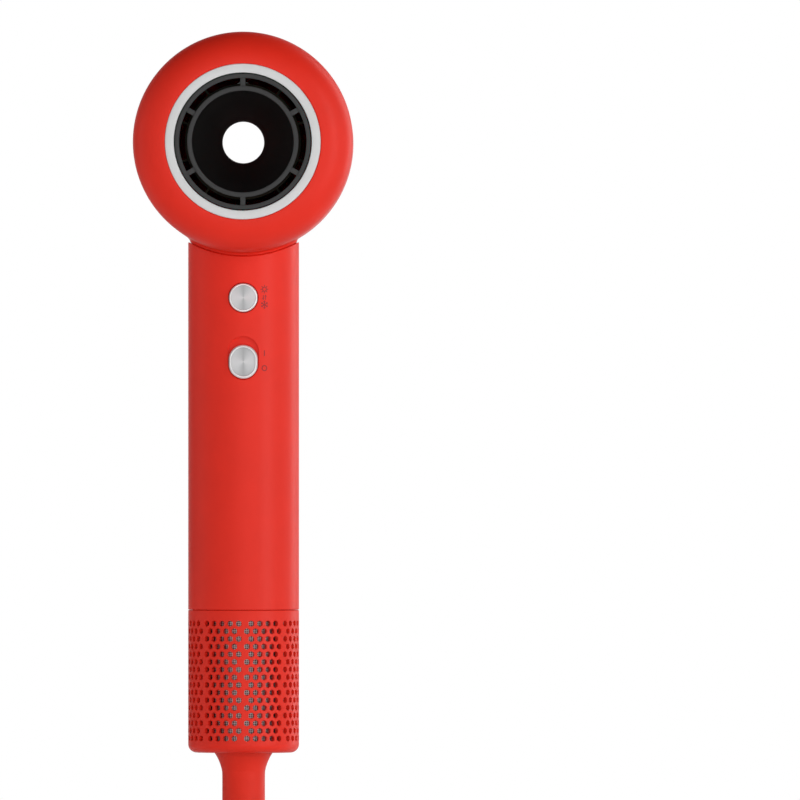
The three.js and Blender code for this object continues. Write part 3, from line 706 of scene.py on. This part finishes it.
def head_shell():
    """Thin shell with a round nose, and a filleted neck that goes down into the handle."""
    nose_y = HEAD_FRONT + FRONT_ROUND
    nose_radius = HEAD_RADIUS - FRONT_ROUND
    inner = HEAD_RADIUS - HEAD_WALL
    rear_round = arc(HEAD_RADIUS - REAR_ROUND, HEAD_REAR - REAR_ROUND, REAR_ROUND, 0, 90, 6)
    shell = turned([
        (OUTLET_RADIUS, HEAD_FRONT + 0.25),
        (OUTLET_RADIUS + 0.25, HEAD_FRONT + 0.02),
        *arc(nose_radius, nose_y, FRONT_ROUND, -88, 0, 30),
        *rear_round,
        (BEZEL_RADIUS + 0.28, HEAD_REAR - 0.25),
        (BEZEL_RADIUS + 0.28, HEAD_REAR - 4),
        (inner, HEAD_REAR - 5),
        *arc(nose_radius, nose_y, FRONT_ROUND - HEAD_WALL, 0, -80, 12),
        (OUTLET_RADIUS, HEAD_FRONT + HEAD_WALL),
    ])
    passage = solid_bar([(NECK_BORE, HEAD_Z - 60), (NECK_BORE, HEAD_Z - 20)], 96)
    return boolean(boolean(shell, [neck()], "UNION"), [passage])


def head_surface(rho, angle, radius=HEAD_RADIUS):
    """Height of a round head's underside at a distance from the handle's axis, towards an angle."""
    return HEAD_Z - math.sqrt(radius**2 - (rho * math.cos(angle)) ** 2)


def column_sleeve(column):
    """A closed tube about the handle's axis whose outline of (radius, z) points changes with the angle."""
    angles = [2 * math.pi * i / SIDES for i in range(SIDES)]
    rings = []
    for row in zip(*(column(a) for a in angles)):
        rings.append([(rho * math.cos(a), rho * math.sin(a), z) for a, (rho, z) in zip(angles, row)])
    return mesh_of(loft(rings, wrap=True))


def neck():
    """A collar that runs out of the head in a small fillet and down to the handle, with a spigot inside."""
    fillet_out, fillet_down = 2.6, 2.0
    edge = 0.35
    collar_arc = HANDLE_TOP_ARC - 0.03
    inside = HEAD_RADIUS - 1

    def column(a):
        out = NECK_RADIUS + fillet_out
        start = np.array((out, head_surface(out, a) + 0.03))
        corner = np.array((NECK_RADIUS, head_surface(NECK_RADIUS, a)))
        lowest = head_surface(NECK_RADIUS, a, collar_arc) + edge
        stop = np.array((NECK_RADIUS, max(corner[1] - fillet_down, lowest)))
        return [
            (out, head_surface(out, a, inside)),
            *bend(start, corner, stop, 10),
            (NECK_RADIUS, lowest - 0.02),
            (NECK_RADIUS - edge, head_surface(NECK_RADIUS - edge, a, collar_arc)),
            (SPIGOT_RADIUS, head_surface(SPIGOT_RADIUS, a, collar_arc)),
            (SPIGOT_RADIUS, SPIGOT_BOTTOM + 0.5),
            (SPIGOT_RADIUS - 0.5, SPIGOT_BOTTOM),
            (NECK_BORE - 0.5, SPIGOT_BOTTOM),
            (NECK_BORE - 0.5, head_surface(NECK_BORE, a, inside)),
        ]

    return column_sleeve(column)


def head_normal(point):
    """Outward direction on the straight part of the shell and on its nose."""
    x, y, z = point.x / MM, point.y / MM, point.z / MM - HEAD_Z
    radius = math.hypot(x, z)
    nose_y, nose_radius = HEAD_FRONT + FRONT_ROUND, HEAD_RADIUS - FRONT_ROUND
    if abs(radius - HEAD_RADIUS) < 0.01 and y >= nose_y:
        return Vector((x, 0, z)).normalized()
    out, back = radius - nose_radius, y - nose_y
    if y < nose_y and abs(math.hypot(out, back) - FRONT_ROUND) < 0.02:
        return Vector((x / radius * out, back, z / radius * out)).normalized()
    return None


stand_in("head_casing", head_shell(), "red_satin", "head_shell", smooth_round=head_normal)

# ---- swirled rear face

SWIRL_TURN = 255.0  # degrees that each ridge winds on its way from the throat to the rim
SWIRL_END = 235.0  # where the rows stop winding and the ridges have flattened into the rim
CREASE_END = 0.9  # share of its way at which a ridge stops being a crisp crease
SWIRL_COLUMNS = 288
SWIRL_ROWS = 100
RIDGE_STARTS = (-75.0, 75.0)
RIDGE_SPREAD = RIM_RADIUS - BELL_RADIUS
RIDGE_BULGE = 23.0


def ridge_radius(t):
    return BELL_RADIUS + RIDGE_SPREAD * (1 - (1 - t) ** 1.7)


def ridge_height(radius):
    u = (radius - BELL_RADIUS) / RIDGE_SPREAD
    return BELL_Y + (RIM_Y - BELL_Y) * u + RIDGE_BULGE * u * (1 - u)


def swirl_height(radius, angle):
    """Height of the rear face; angle is in degrees, seen from behind and counted from the right."""
    knots = [(BELL_RADIUS, BELL_Y), (RIM_RADIUS, RIM_Y)]
    for start in RIDGE_STARTS:
        t = (angle - start) % 360 / SWIRL_TURN
        if t < 1:
            crest = ridge_radius(t)
            knots.append((crest, ridge_height(crest)))
    knots.sort()
    return float(np.interp(radius, [k[0] for k in knots], [k[1] for k in knots]))


def angle_behind(x, z):
    """Angle of a place seen from behind, counted from the right, in degrees."""
    return math.degrees(math.atan2(z, -x))


def face_height(x, z):
    """Height of the rear face at a place given from the head's axis."""
    return swirl_height(math.hypot(x, z), angle_behind(x, z))


def swirl_ring(radius, offset, height=None):
    """A ring of the rear face whose points are turned by offset degrees."""
    ring = []
    for i in range(SWIRL_COLUMNS):
        angle = 360 * i / SWIRL_COLUMNS + offset
        a = math.radians(angle)
        y = swirl_height(radius, angle) if height is None else height
        ring.append((-radius * math.cos(a), y, HEAD_Z + radius * math.sin(a)))
    return ring


def rear_face():
    """Red half of the tunnel, the two ridges that wind out of it, the rim and the underside."""
    joint = bezel_low[1]
    bell = [(BELL_JOINT_RADIUS, joint), (13.3, -1), (16.2, 8), (19.2, 17.5), (BELL_RADIUS, BELL_Y)]
    rings = [swirl_ring(r, 0, y) for r, y in smooth_line(bell, 8)[:-1]]
    for i in range(SWIRL_ROWS + 1):
        wound = SWIRL_END * i / SWIRL_ROWS
        rings.append(swirl_ring(ridge_radius(wound / SWIRL_TURN), wound))
    rim = [(RIM_RADIUS + 0.1, RIM_Y), (RIM_RADIUS + 0.4, RIM_Y - 0.1), (BEZEL_RADIUS - 0.1, RIM_Y - 0.3),
           (BEZEL_RADIUS, RIM_Y - 0.6)]
    underside = [(BEZEL_RADIUS, 31.6), (36.2, 31.6), (35.4, 32.0), (23.6, 25.2), (17.8, 8),
                 (BELL_JOINT_RADIUS + TUNNEL_WALL, joint)]
    rings += [swirl_ring(r, SWIRL_END, y) for r, y in rim + underside]
    shift = round(SWIRL_END * SWIRL_COLUMNS / 360)
    return mesh_of(loft(rings, wrap=True, twist=shift))


def at_control(degrees):
    """A place on the circle of the rear controls, as x and z from the head's axis."""
    return polar(0, 0, CONTROL_RADIUS, math.radians(degrees))


def rocker_ring(half_width, height):
    """Outline of the curved rocker as a ring; height gives y from x and z about the head's axis."""
    first, last = -90 - ROCKER_HALF_ANGLE, -90 + ROCKER_HALF_ANGLE
    outline = arc(0, 0, CONTROL_RADIUS + half_width, first, last, 40)[:-1]
    outline += arc(*at_control(last), half_width, last, last + 180, 20)[:-1]
    outline += arc(0, 0, CONTROL_RADIUS - half_width, last, first, 40)[:-1]
    outline += arc(*at_control(first), half_width, first + 180, first + 360, 20)[:-1]
    return [(x, height(x, z), HEAD_Z + z) for x, z in outline]


def rocker_base(x, z):
    """The slope that the rocker's top follows: the rear face along the rocker's own middle line."""
    beyond = math.hypot(x, z) - CONTROL_RADIUS
    return swirl_height(CONTROL_RADIUS, angle_behind(x, z)) + 0.62 * beyond


def rocker():
    """The curved key with a dimple at each end, bored for the pin that it tilts on."""
    bottom = extent("control_rocker")[0][1]
    rings = [rocker_ring(ROCKER_HALF_WIDTH, lambda x, z: bottom)]
    profile = [(0, 0.1), (0.08, 0.4), (0.3, 0.62), (0.7, 0.78), (1.15, 0.85), (1.7, ROCKER_RISE),
               (2.1, ROCKER_RISE)]
    for inset, rise in profile:
        rings.append(rocker_ring(ROCKER_HALF_WIDTH - inset, lambda x, z, rise=rise: rocker_base(x, z) + rise))
    cuts = []
    for side in (-1, 1):
        x, z = at_control(-90 + side * ROCKER_HALF_ANGLE)
        top = rocker_base(x, z) + ROCKER_RISE
        dimple = [(0.96, top + 1), (0.96, top - 0.05), (0.8, top - 0.3), (0.5, top - 0.48),
                  (0.15, top - 0.55)]
        cuts.append(level_bar(dimple, 32, x, HEAD_Z + z))
    pin_low, pin_high = extent("rocker_pin")
    bore_radius = (pin_high[0] - pin_low[0]) / 2 + 0.15
    bore = [(bore_radius, pin_low[2] - 0.5), (bore_radius, pin_high[2] + 0.5)]
    cuts.append(solid_bar(bore, 24, 0.0, (pin_low[1] + pin_high[1]) / 2))
    return boolean(mesh_of(loft(rings)), cuts)


def mark_ridges_sharp(mesh):
    """Crisp creases along both ridges."""
    on_ridge = []
    for vertex in mesh.vertices:
        x, y, z = vertex.co.x / MM, vertex.co.y / MM, vertex.co.z / MM - HEAD_Z
        radius, angle = math.hypot(x, z), angle_behind(x, z)
        crest = set()
        for k, start in enumerate(RIDGE_STARTS):
            t = (angle - start) % 360 / SWIRL_TURN
            if t >= CREASE_END:
                continue
            if abs(radius - ridge_radius(t)) < 0.02 and abs(y - ridge_height(radius)) < 0.04:
                crest.add(k)
        on_ridge.append(crest)
    for edge in mesh.edges:
        a, b = edge.vertices
        if on_ridge[a] & on_ridge[b]:
            edge.use_edge_sharp = True


def rear_controls():
    """The rear face with the rocker in its slot and the lamps."""
    slot_width = ROCKER_HALF_WIDTH + 0.35
    slot = mesh_of(loft([rocker_ring(slot_width, lambda x, z, y=y: y) for y in (20.0, 42.0)]))
    face = stand_in("rear_face", boolean(rear_face(), [slot]), "red_satin", "rear_bezel", sharp=60)
    mark_ridges_sharp(face.data)
    # painted shade: the faces inside the bell, deep in the tunnel, take the darker red
    face.data.materials.append(bell_painted_shade)
    for polygon in face.data.polygons:
        x, _, z = polygon.center / MM
        if math.hypot(x, z - HEAD_Z) < BELL_RADIUS - 0.01:
            polygon.material_index = 1
    stand_in("rocker_key", rocker(), "chrome", "control_rocker", "rocker", sharp=40)
    for side, color in ((1, "white"), (-1, "red")):
        for i, degrees in enumerate(LED_ANGLES, 1):
            x, z = at_control(-degrees)
            y = face_height(side * x, z)
            dome = [(LED_RADIUS, y - 6), (LED_RADIUS, y), *arc(0, y, LED_RADIUS, 20, 80, 4)]
            lens = level_bar(dome, 24, side * x, HEAD_Z + z)
            stand_in(f"{color}_lamp_{i}", lens, f"{color}_lens", f"{color}_led_{i}")


rear_controls()

# ---- outlet


def square_ring(outer, inner, front, depth, corner):
    """A ring about the head's axis with a four-sided section and rounded corners."""
    back = front + depth
    return turned(softened([(outer, front), (outer, back), (inner, back), (inner, front)], corner))


def outlet():
    """The silver ring, the grille in the slot behind it, and the black cone inside."""
    ring = square_ring(RING_OUTER, RING_INNER, HEAD_FRONT, 2, RING_ROUND)
    stand_in("silver_ring", ring, "silver", "outlet_ring")
    front = HEAD_FRONT + GRILLE_RECESS
    parts = [square_ring(outer, inner, front, GRILLE_DEPTH, 0.25) for outer, inner in GRILLE_RINGS]
    slot_outer, slot_inner = GRILLE_RINGS[0][1], GRILLE_RINGS[1][0]
    for i in range(RIB_COUNT):
        parts.append(rib(2 * math.pi * i / RIB_COUNT, slot_inner - 0.5, slot_outer + 0.5, front + 0.35))
    stand_in("grille", boolean(parts[0], parts[1:], "UNION"), "grey_plastic", "outlet_grille")
    cone_front = HEAD_FRONT + 1
    inside = smooth_line([
        (CONE_MOUTH, cone_front), (15.2, -40), (12.4, -30), (9.6, -20.5), (THROAT_RADIUS, THROAT_Y),
        (THROAT_RADIUS + 1, THROAT_Y + 2.5), (BELL_JOINT_RADIUS, CONE_BACK),
    ], 8)
    outside = [
        (BELL_JOINT_RADIUS + TUNNEL_WALL, CONE_BACK), (THROAT_RADIUS + 3, THROAT_Y + 1.5),
        (THROAT_RADIUS + 1.8, THROAT_Y), (11.2, -21), (14, -30.5), (CONE_MOUTH, cone_front + 8),
    ]
    stand_in("cone", turned(inside + outside), "black_plastic", "inner_cone")


def rib(angle, low, high, front):
    """A rib across the slot, with rounded front edges; angle is counted from the top."""
    outline = softened([(-RIB_WIDTH / 2, front), (RIB_WIDTH / 2, front), (RIB_WIDTH / 2, front + 5),
                        (-RIB_WIDTH / 2, front + 5)], 0.2)
    rings = []
    for distance in (low, high):
        ring = []
        for across, y in outline:
            x = distance * math.sin(angle) + across * math.cos(angle)
            z = distance * math.cos(angle) - across * math.sin(angle)
            ring.append((x, y, HEAD_Z + z))
        rings.append(ring)
    return mesh_of(loft(rings))


outlet()

# ---- handle and its controls


def skin_y(x):
    """Where the front of the handle's skin is at x."""
    return -math.sqrt(HANDLE_RADIUS**2 - x * x)


def flared_cutter(outline, centre_z, back_y):
    """A cutter pushed in from the front that leaves a fine chamfer where it meets the round skin."""
    edge = 0.12
    rings = []
    rows = [(edge + 0.4, lambda x: -25.0), (edge + 0.4, lambda x: skin_y(x) - 0.4),
            (0.0, lambda x: skin_y(x) + edge), (0.0, lambda x: back_y)]
    for grow, depth in rows:
        ring = []
        for x, z in outline:
            length = math.hypot(x, z)
            gx, gz = x * (1 + grow / length), z * (1 + grow / length)
            ring.append((gx, depth(x), centre_z + gz))
        rings.append(ring)
    return mesh_of(loft(rings))


def handle_tube():
    """Tube whose top follows the head, with the button's hole and the slider's recess and slot."""
    low, edge = handle_low[2], 0.3

    def column(a):
        return [
            (HANDLE_RADIUS - 0.2, low),
            (HANDLE_RADIUS, low + 0.15),
            (HANDLE_RADIUS, BUTTON_Z + 8),
            (HANDLE_RADIUS, head_surface(HANDLE_RADIUS, a, HANDLE_TOP_ARC) - edge),
            (HANDLE_RADIUS - edge, head_surface(HANDLE_RADIUS - edge, a, HANDLE_TOP_ARC)),
            (HANDLE_BORE, head_surface(HANDLE_BORE, a, HANDLE_TOP_ARC)),
            (HANDLE_BORE, low),
        ]

    pad_height = RECESS_HALF[1] + 2
    pad = block(7.5, RECESS_Z - pad_height, RECESS_Z + pad_height, -18.05, -16.4)
    hole = flared_cutter(stadium(BUTTON_HOLE, BUTTON_HOLE), BUTTON_Z, -10)
    recess = flared_cutter(stadium(*RECESS_HALF), RECESS_Z, RECESS_FLOOR_Y)
    slot = block(1.7, SLIDER_Z - 2, SLIDER_Z + 5, -21.0, -13.0)
    return boolean(boolean(column_sleeve(column), [pad], "UNION"), [hole, recess, slot])


def cool_button():
    """A brushed disc with a bright chamfered edge, on a flange inside the handle."""
    face_y, flange_y = button_low[1], -16.6
    rows = [
        (6.3, flange_y + 1), (6.3, flange_y), (BUTTON_RADIUS, flange_y), (BUTTON_RADIUS, face_y + 0.5),
        (BUTTON_RADIUS - 0.05, face_y + 0.3), (BUTTON_RADIUS - 0.16, face_y + 0.12),
        (BUTTON_RADIUS - 0.35, face_y), (BUTTON_RADIUS - 0.66, face_y), (BUTTON_RADIUS - 0.76, face_y + 0.1),
        (3.2, face_y + 0.08), (1.6, face_y + 0.05), (0.3, face_y + 0.045),
    ]
    return level_bar(rows, 96, 0.0, BUTTON_Z)


def power_slider():
    """A brushed pad with a bright rim; its stem goes through the slot to the switch."""
    face_y = slider_low[1]
    back = RECESS_FLOOR_Y - 0.3
    rows = [
        (0.0, back), (0.0, face_y + 0.55), (0.12, face_y + 0.25), (0.35, face_y + 0.06), (0.55, face_y),
        (0.8, face_y), (0.92, face_y + 0.12), (1.0, face_y + 0.14), (2.6, face_y + 0.05),
        (4.4, face_y + 0.02),
    ]
    rings = []
    for inset, y in rows:
        outline = stadium(SLIDER_HALF[0] - inset, SLIDER_HALF[1] - inset)
        rings.append([(x, y, SLIDER_Z + z) for x, z in outline])
    stem = block(1.3, SLIDER_Z - 1.5, SLIDER_Z + 1.5, back - 0.5, slider_high[1])
    return boolean(mesh_of(loft(rings)), [stem], "UNION")


def give_bright_rim(made, front_y, is_rim):
    """Bright metal on the rim's faces at the front of a key, and red on all that lies behind front_y."""
    made.data.materials.append(bright_edge)
    made.data.materials.append(finishes["red_satin"])
    for polygon in made.data.polygons:
        x, y, z = polygon.center / MM
        if y > front_y:
            polygon.material_index = 2
        elif is_rim(x, z):
            polygon.material_index = 1


def front_controls():
    """The handle with its button and slider."""
    stand_in("handle_grip", handle_tube(), "red_satin", "handle_tube", smooth_round=from_handle_axis)
    button = stand_in("button_cap", cool_button(), "aluminium", "cool_button", "button", spun_button_painted_sheen,
                      sharp=20)
    slider = stand_in("slider_pad", power_slider(), "aluminium", "power_slider", "slider", spun_slider_painted_sheen,
                      sharp=20)

    def on_button_rim(x, z):
        return math.hypot(x, z - BUTTON_Z) > BUTTON_RADIUS - 0.68

    def on_slider_rim(x, z):
        straight = SLIDER_HALF[1] - SLIDER_HALF[0]
        beyond = max(0.0, abs(z - SLIDER_Z) - straight)
        return math.hypot(x, beyond) > SLIDER_HALF[0] - 0.95

    give_bright_rim(button, button_low[1] + 0.52, on_button_rim)
    give_bright_rim(slider, slider_low[1] + 0.55, on_slider_rim)


front_controls()

# ---- printed marks


def slab(outline, place, thick):
    """A thin printed shape: an outline of flat (u, v) points laid on a surface by place(u, v, rise)."""
    return mesh_of(loft([[place(u, v, rise) for u, v in outline] for rise in (-0.08, thick)]))


def stroke(start, stop, width):
    """A straight stroke with square ends."""
    start, stop = np.array(start, float), np.array(stop, float)
    along = (stop - start) / np.linalg.norm(stop - start)
    side = np.array((-along[1], along[0])) * width / 2
    return [tuple(start - side), tuple(stop - side), tuple(stop + side), tuple(start + side)]


def ring_strokes(u, v, radius, width):
    """A thin printed circle, as short strokes."""
    corners = circle(u, v, radius, 20)
    return [stroke(corners[i - 1], corners[i], width) for i in range(20)]


def sun(u, v):
    angles = [math.pi * i / 4 for i in range(8)]
    rays = [stroke(polar(u, v, 0.9, a), polar(u, v, 1.5, a), 0.27) for a in angles]
    return rays + ring_strokes(u, v, 0.72, 0.32)


def snowflake(u, v):
    strokes = []
    for i in range(6):
        a = math.pi * i / 3 + math.pi / 2
        root = polar(u, v, 0.8, a)
        strokes.append(stroke((u, v), polar(u, v, 1.45, a), 0.28))
        strokes += [stroke(root, polar(*root, 0.5, a + lean), 0.24) for lean in (-0.75, 0.75)]
    return strokes


def up_and_down(u, v):
    """Two slim arrowheads, one up and one down."""
    marks = []
    for side in (-1, 1):
        x = u + side * 0.42
        marks.append(stroke((x, v - side * 0.8), (x, v + side * 0.6), 0.26))
        marks.append([(x - 0.45, v + side * 0.25), (x + 0.45, v + side * 0.25), (x, v + side * 1.0)])
    return marks


def handle_marks():
    middle = HANDLE_RADIUS * math.asin(7.5 / HANDLE_RADIUS)

    def place(u, v, rise):
        a = u / HANDLE_RADIUS
        return ((HANDLE_RADIUS + rise) * math.sin(a), -(HANDLE_RADIUS + rise) * math.cos(a), v)

    outlines = sun(middle, 57.9) + up_and_down(middle, 55.0) + snowflake(middle, 52.4)
    outlines.append(stroke((middle, 34.2), (middle, 36.2), 0.36))
    outlines += ring_strokes(middle, 29.9, 0.9, 0.34)
    marks = added([slab(outline, place, 0.02) for outline in outlines])
    piece("handle_marks", marks, mark_red, "casing")


def fan_outlines(u, v):
    """Four curved blades round a small hub."""
    corners = ((0.22, -0.5), (0.7, -0.62), (1.15, -0.45), (1.38, -0.05), (1.3, 0.35), (0.9, 0.42), (0.5, 0.3),
               (0.22, 0.5))
    turns = [math.pi / 2 * i + 0.2 for i in range(4)]
    blades = [[polar(u, v, distance, turn + ahead) for distance, ahead in corners] for turn in turns]
    return blades + [circle(u, v, 0.3, 12)]


def thermometer_outlines(u, v):
    """A bulb, a stem and three scale ticks on the side."""
    marks = ring_strokes(u, v - 0.95, 0.55, 0.28) + [circle(u, v - 0.95, 0.3, 16)]
    for side in (-1, 1):
        marks.append(stroke((u + side * 0.38, v - 0.55), (u + side * 0.38, v + 1.0), 0.24))
    marks.append(stroke((u - 0.45, v + 1.05), (u + 0.45, v + 1.05), 0.24))
    marks.append(stroke((u, v - 0.9), (u, v + 0.5), 0.24))
    for i in range(3):
        height = v + 1.05 - 0.42 * i
        marks.append(stroke((u - 0.7, height), (u - 1.25 + 0.2 * i, height), 0.22))
    return marks


def rear_marks():
    def place(u, v, rise):
        return (u, face_height(u, v) + rise, HEAD_Z + v)

    outlines = fan_outlines(*polar(0, 0, 32.9, math.radians(-90 + 22.3)))
    outlines += thermometer_outlines(*polar(0, 0, 33.2, math.radians(-90 - 21.5)))
    marks = added([slab(outline, place, 0.12) for outline in outlines])
    piece("rear_marks", marks, mark_black, "casing")


handle_marks()
rear_marks()

# ---- air intake

SECTORS = 8
FIRST_SECTOR = 22.0  # degrees from the front to the middle of a sector
HOLE_ROWS = 16
HOLE_PITCH = 2.72
TOP_ROW_Z = -60.75
HOLE_SPACING = 9.1  # degrees between neighbours in a row
HOLE_RADIUS = 1.13  # from the middle to a corner


def hole_places():
    """Angle and height of every hole: in each sector rows of five and four take turns."""
    for sector in range(SECTORS):
        middle = FIRST_SECTOR + 360 / SECTORS * sector
        for row in range(HOLE_ROWS):
            count = 5 if (row + sector) % 2 else 4
            for i in range(count):
                yield middle + HOLE_SPACING * (i - (count - 1) / 2), TOP_ROW_Z - HOLE_PITCH * row


def hole_cutter():
    """All the six-sided holes as one mesh of bars that point outward; angle 0 is the front."""
    hexagon = [polar(0, 0, HOLE_RADIUS, math.radians(90 + 60 * k)) for k in range(6)]
    points, faces = [], []
    for angle, z in hole_places():
        a = math.radians(angle)
        out = np.array((math.sin(a), -math.cos(a)))
        side = np.array((math.cos(a), math.sin(a)))
        rings = []
        for distance in (HANDLE_RADIUS - 2.4, HANDLE_RADIUS + 1):
            rings.append([(*(out * distance + side * across), z + up) for across, up in hexagon])
        bar_points, bar_faces = loft(rings)
        faces += [tuple(i + len(points) for i in face) for face in bar_faces]
        points += bar_points
    return mesh_of((points, faces))


def intake_cover():
    seam, bottom = handle_low[2] - 0.12, COVER_BOTTOM
    corner = arc(HANDLE_RADIUS - COVER_ROUND, bottom + COVER_ROUND, COVER_ROUND, 0, -90, 10)
    cup = standing([
        (HANDLE_RADIUS - 0.25, seam),
        (HANDLE_RADIUS, seam - 0.2),
        *corner,
        (COVER_HOLE + 0.3, bottom),
        (COVER_HOLE, bottom + 0.3),
        (COVER_HOLE, bottom + COVER_FLOOR),
        (HANDLE_RADIUS - COVER_ROUND, bottom + COVER_FLOOR),
        (COVER_BORE, bottom + COVER_ROUND + 0.2),
        (COVER_BORE, seam),
    ])
    return boolean(cup, [hole_cutter()])


def cover_normal(point):
    if point.z / MM < COVER_BOTTOM + COVER_ROUND:
        return None
    return from_handle_axis(point)


WIRES_ROUND = 150
WIRES_HIGH = 59
STEPS_PER_WIRE = 4


def intake_mesh():
    """Wire cloth wrapped round the cage: each wire goes over one neighbour and under the next."""
    bottom, top = mesh_low[2], mesh_high[2]
    inner = 17.32
    base, swing, wire = 17.44, 0.08, 0.16
    columns, rows = WIRES_ROUND * STEPS_PER_WIRE, WIRES_HIGH * STEPS_PER_WIRE

    def lift(u, v):
        nearest_u, nearest_v = round(u), round(v)

        def wire_height(offset):
            return wire * math.sqrt(max(0.0, 1 - (offset / 0.21) ** 2))

        warp = swing * math.cos(math.pi * nearest_u) * math.cos(math.pi * v) + wire_height(u - nearest_u)
        weft = -swing * math.cos(math.pi * nearest_v) * math.cos(math.pi * u) + wire_height(v - nearest_v)
        return max(warp, weft)

    rings, painted_gap_shades = [], []
    for j in range(rows + 1):
        ring = []
        for i in range(columns):
            height = lift(i / STEPS_PER_WIRE, j / STEPS_PER_WIRE)
            a = 2 * math.pi * i / columns
            radius = base + height
            ring.append((radius * math.cos(a), radius * math.sin(a), bottom + (top - bottom) * j / rows))
            # painted shade: each point's share of a wire's full height, which the cloth's material turns from
            # near black in the gaps to light on the wire tops
            painted_gap_shades.append(min(1.0, max(0.0, height / wire)))
        rings.append(ring)
    for z in (top, bottom):
        rings.append(round_z(inner, z, columns))
        painted_gap_shades += [0.0] * columns
    mesh = mesh_of(loft(rings, wrap=True))
    mesh.attributes.new("painted_gap_shade", "FLOAT", "POINT").data.foreach_set("value", painted_gap_shades)
    return mesh


def strain_relief():
    """Soft sleeve: a flared collar under the cover, a plain neck and then bending ribs."""
    top, bottom = COVER_BOTTOM, relief_low[2]
    waist_top, waist_bottom = -101.9, -104.9
    outline = [(5, relief_high[2]), (5, waist_top), (4, waist_top), (4, waist_bottom), (10.25, waist_bottom),
               (10.25, top - 0.2)]
    outline += smooth_line([
        (10.15, top - 0.4), (9.3, top - 1.8), (8.4, top - 3.9), (7.8, top - 6), (7.6, top - 8.3), (7.6, -125),
    ], 6)
    first_rib_z = -127.0
    ribs = 7
    pitch = (first_rib_z - bottom - 2) / ribs
    for i in range(ribs):
        radius = 7.5 - 2.3 * (i + 0.5) / ribs
        z = first_rib_z - pitch * i
        outline += [(radius, z), (radius, z - 0.55 * pitch)]
        outline += [(radius - 0.9, z - 0.68 * pitch), (radius - 0.9, z - 0.9 * pitch)]
    outline += [(5.0, bottom + 1.4), (4.95, bottom + 0.3), (4.7, bottom)]
    return solid_bar(outline, 96)


def air_intake():
    """The cover, the wire cloth behind its holes, and the cord's sleeve under it."""
    stand_in("perforated_cover", intake_cover(), "red_satin", "intake_cover", "cover",
             smooth_round=cover_normal)
    cloth = woven_metal_painted_shade("wire_cloth")
    stand_in("wire_cloth", intake_mesh(), "steel", "intake_mesh", material=cloth, sharp=80)
    stand_in("relief_sleeve", strain_relief(), "soft_red", "strain_relief", sharp=35)


air_intake()

# ---- pieces kept from the CAD model


def finish_cad_nodes():
    """Every CAD node that still shows gets its slot's finish and smooth round faces."""
    slots = {row["node"]: row["material_slot"] for row in frame["record"]["subparts"]}
    for name, node in frame["nodes"].items():
        if node.hide_render:
            continue
        node.data.materials.clear()
        node.data.materials.append(finishes[slots[name]])
        node.data.polygons.foreach_set("use_smooth", [True] * len(node.data.polygons))
        node.data.set_sharp_from_angle(angle=math.radians(25))


finish_cad_nodes()

# ---- floor


def add_floor():
    half, z = 1.5, (hank_low[2] - 6) * MM
    mesh = bpy.data.meshes.new("floor")
    corners = [(-half, -half, z), (half, -half, z), (half, half, z), (-half, half, z)]
    mesh.from_pydata(corners, [], [(0, 1, 2, 3)])
    mesh.materials.append(surface("floor", (0.8, 0.8, 0.8), 0.7, mottle=8, grain=300))
    floor = bpy.data.objects.new("floor", mesh)
    bpy.context.scene.collection.objects.link(floor)


add_floor()
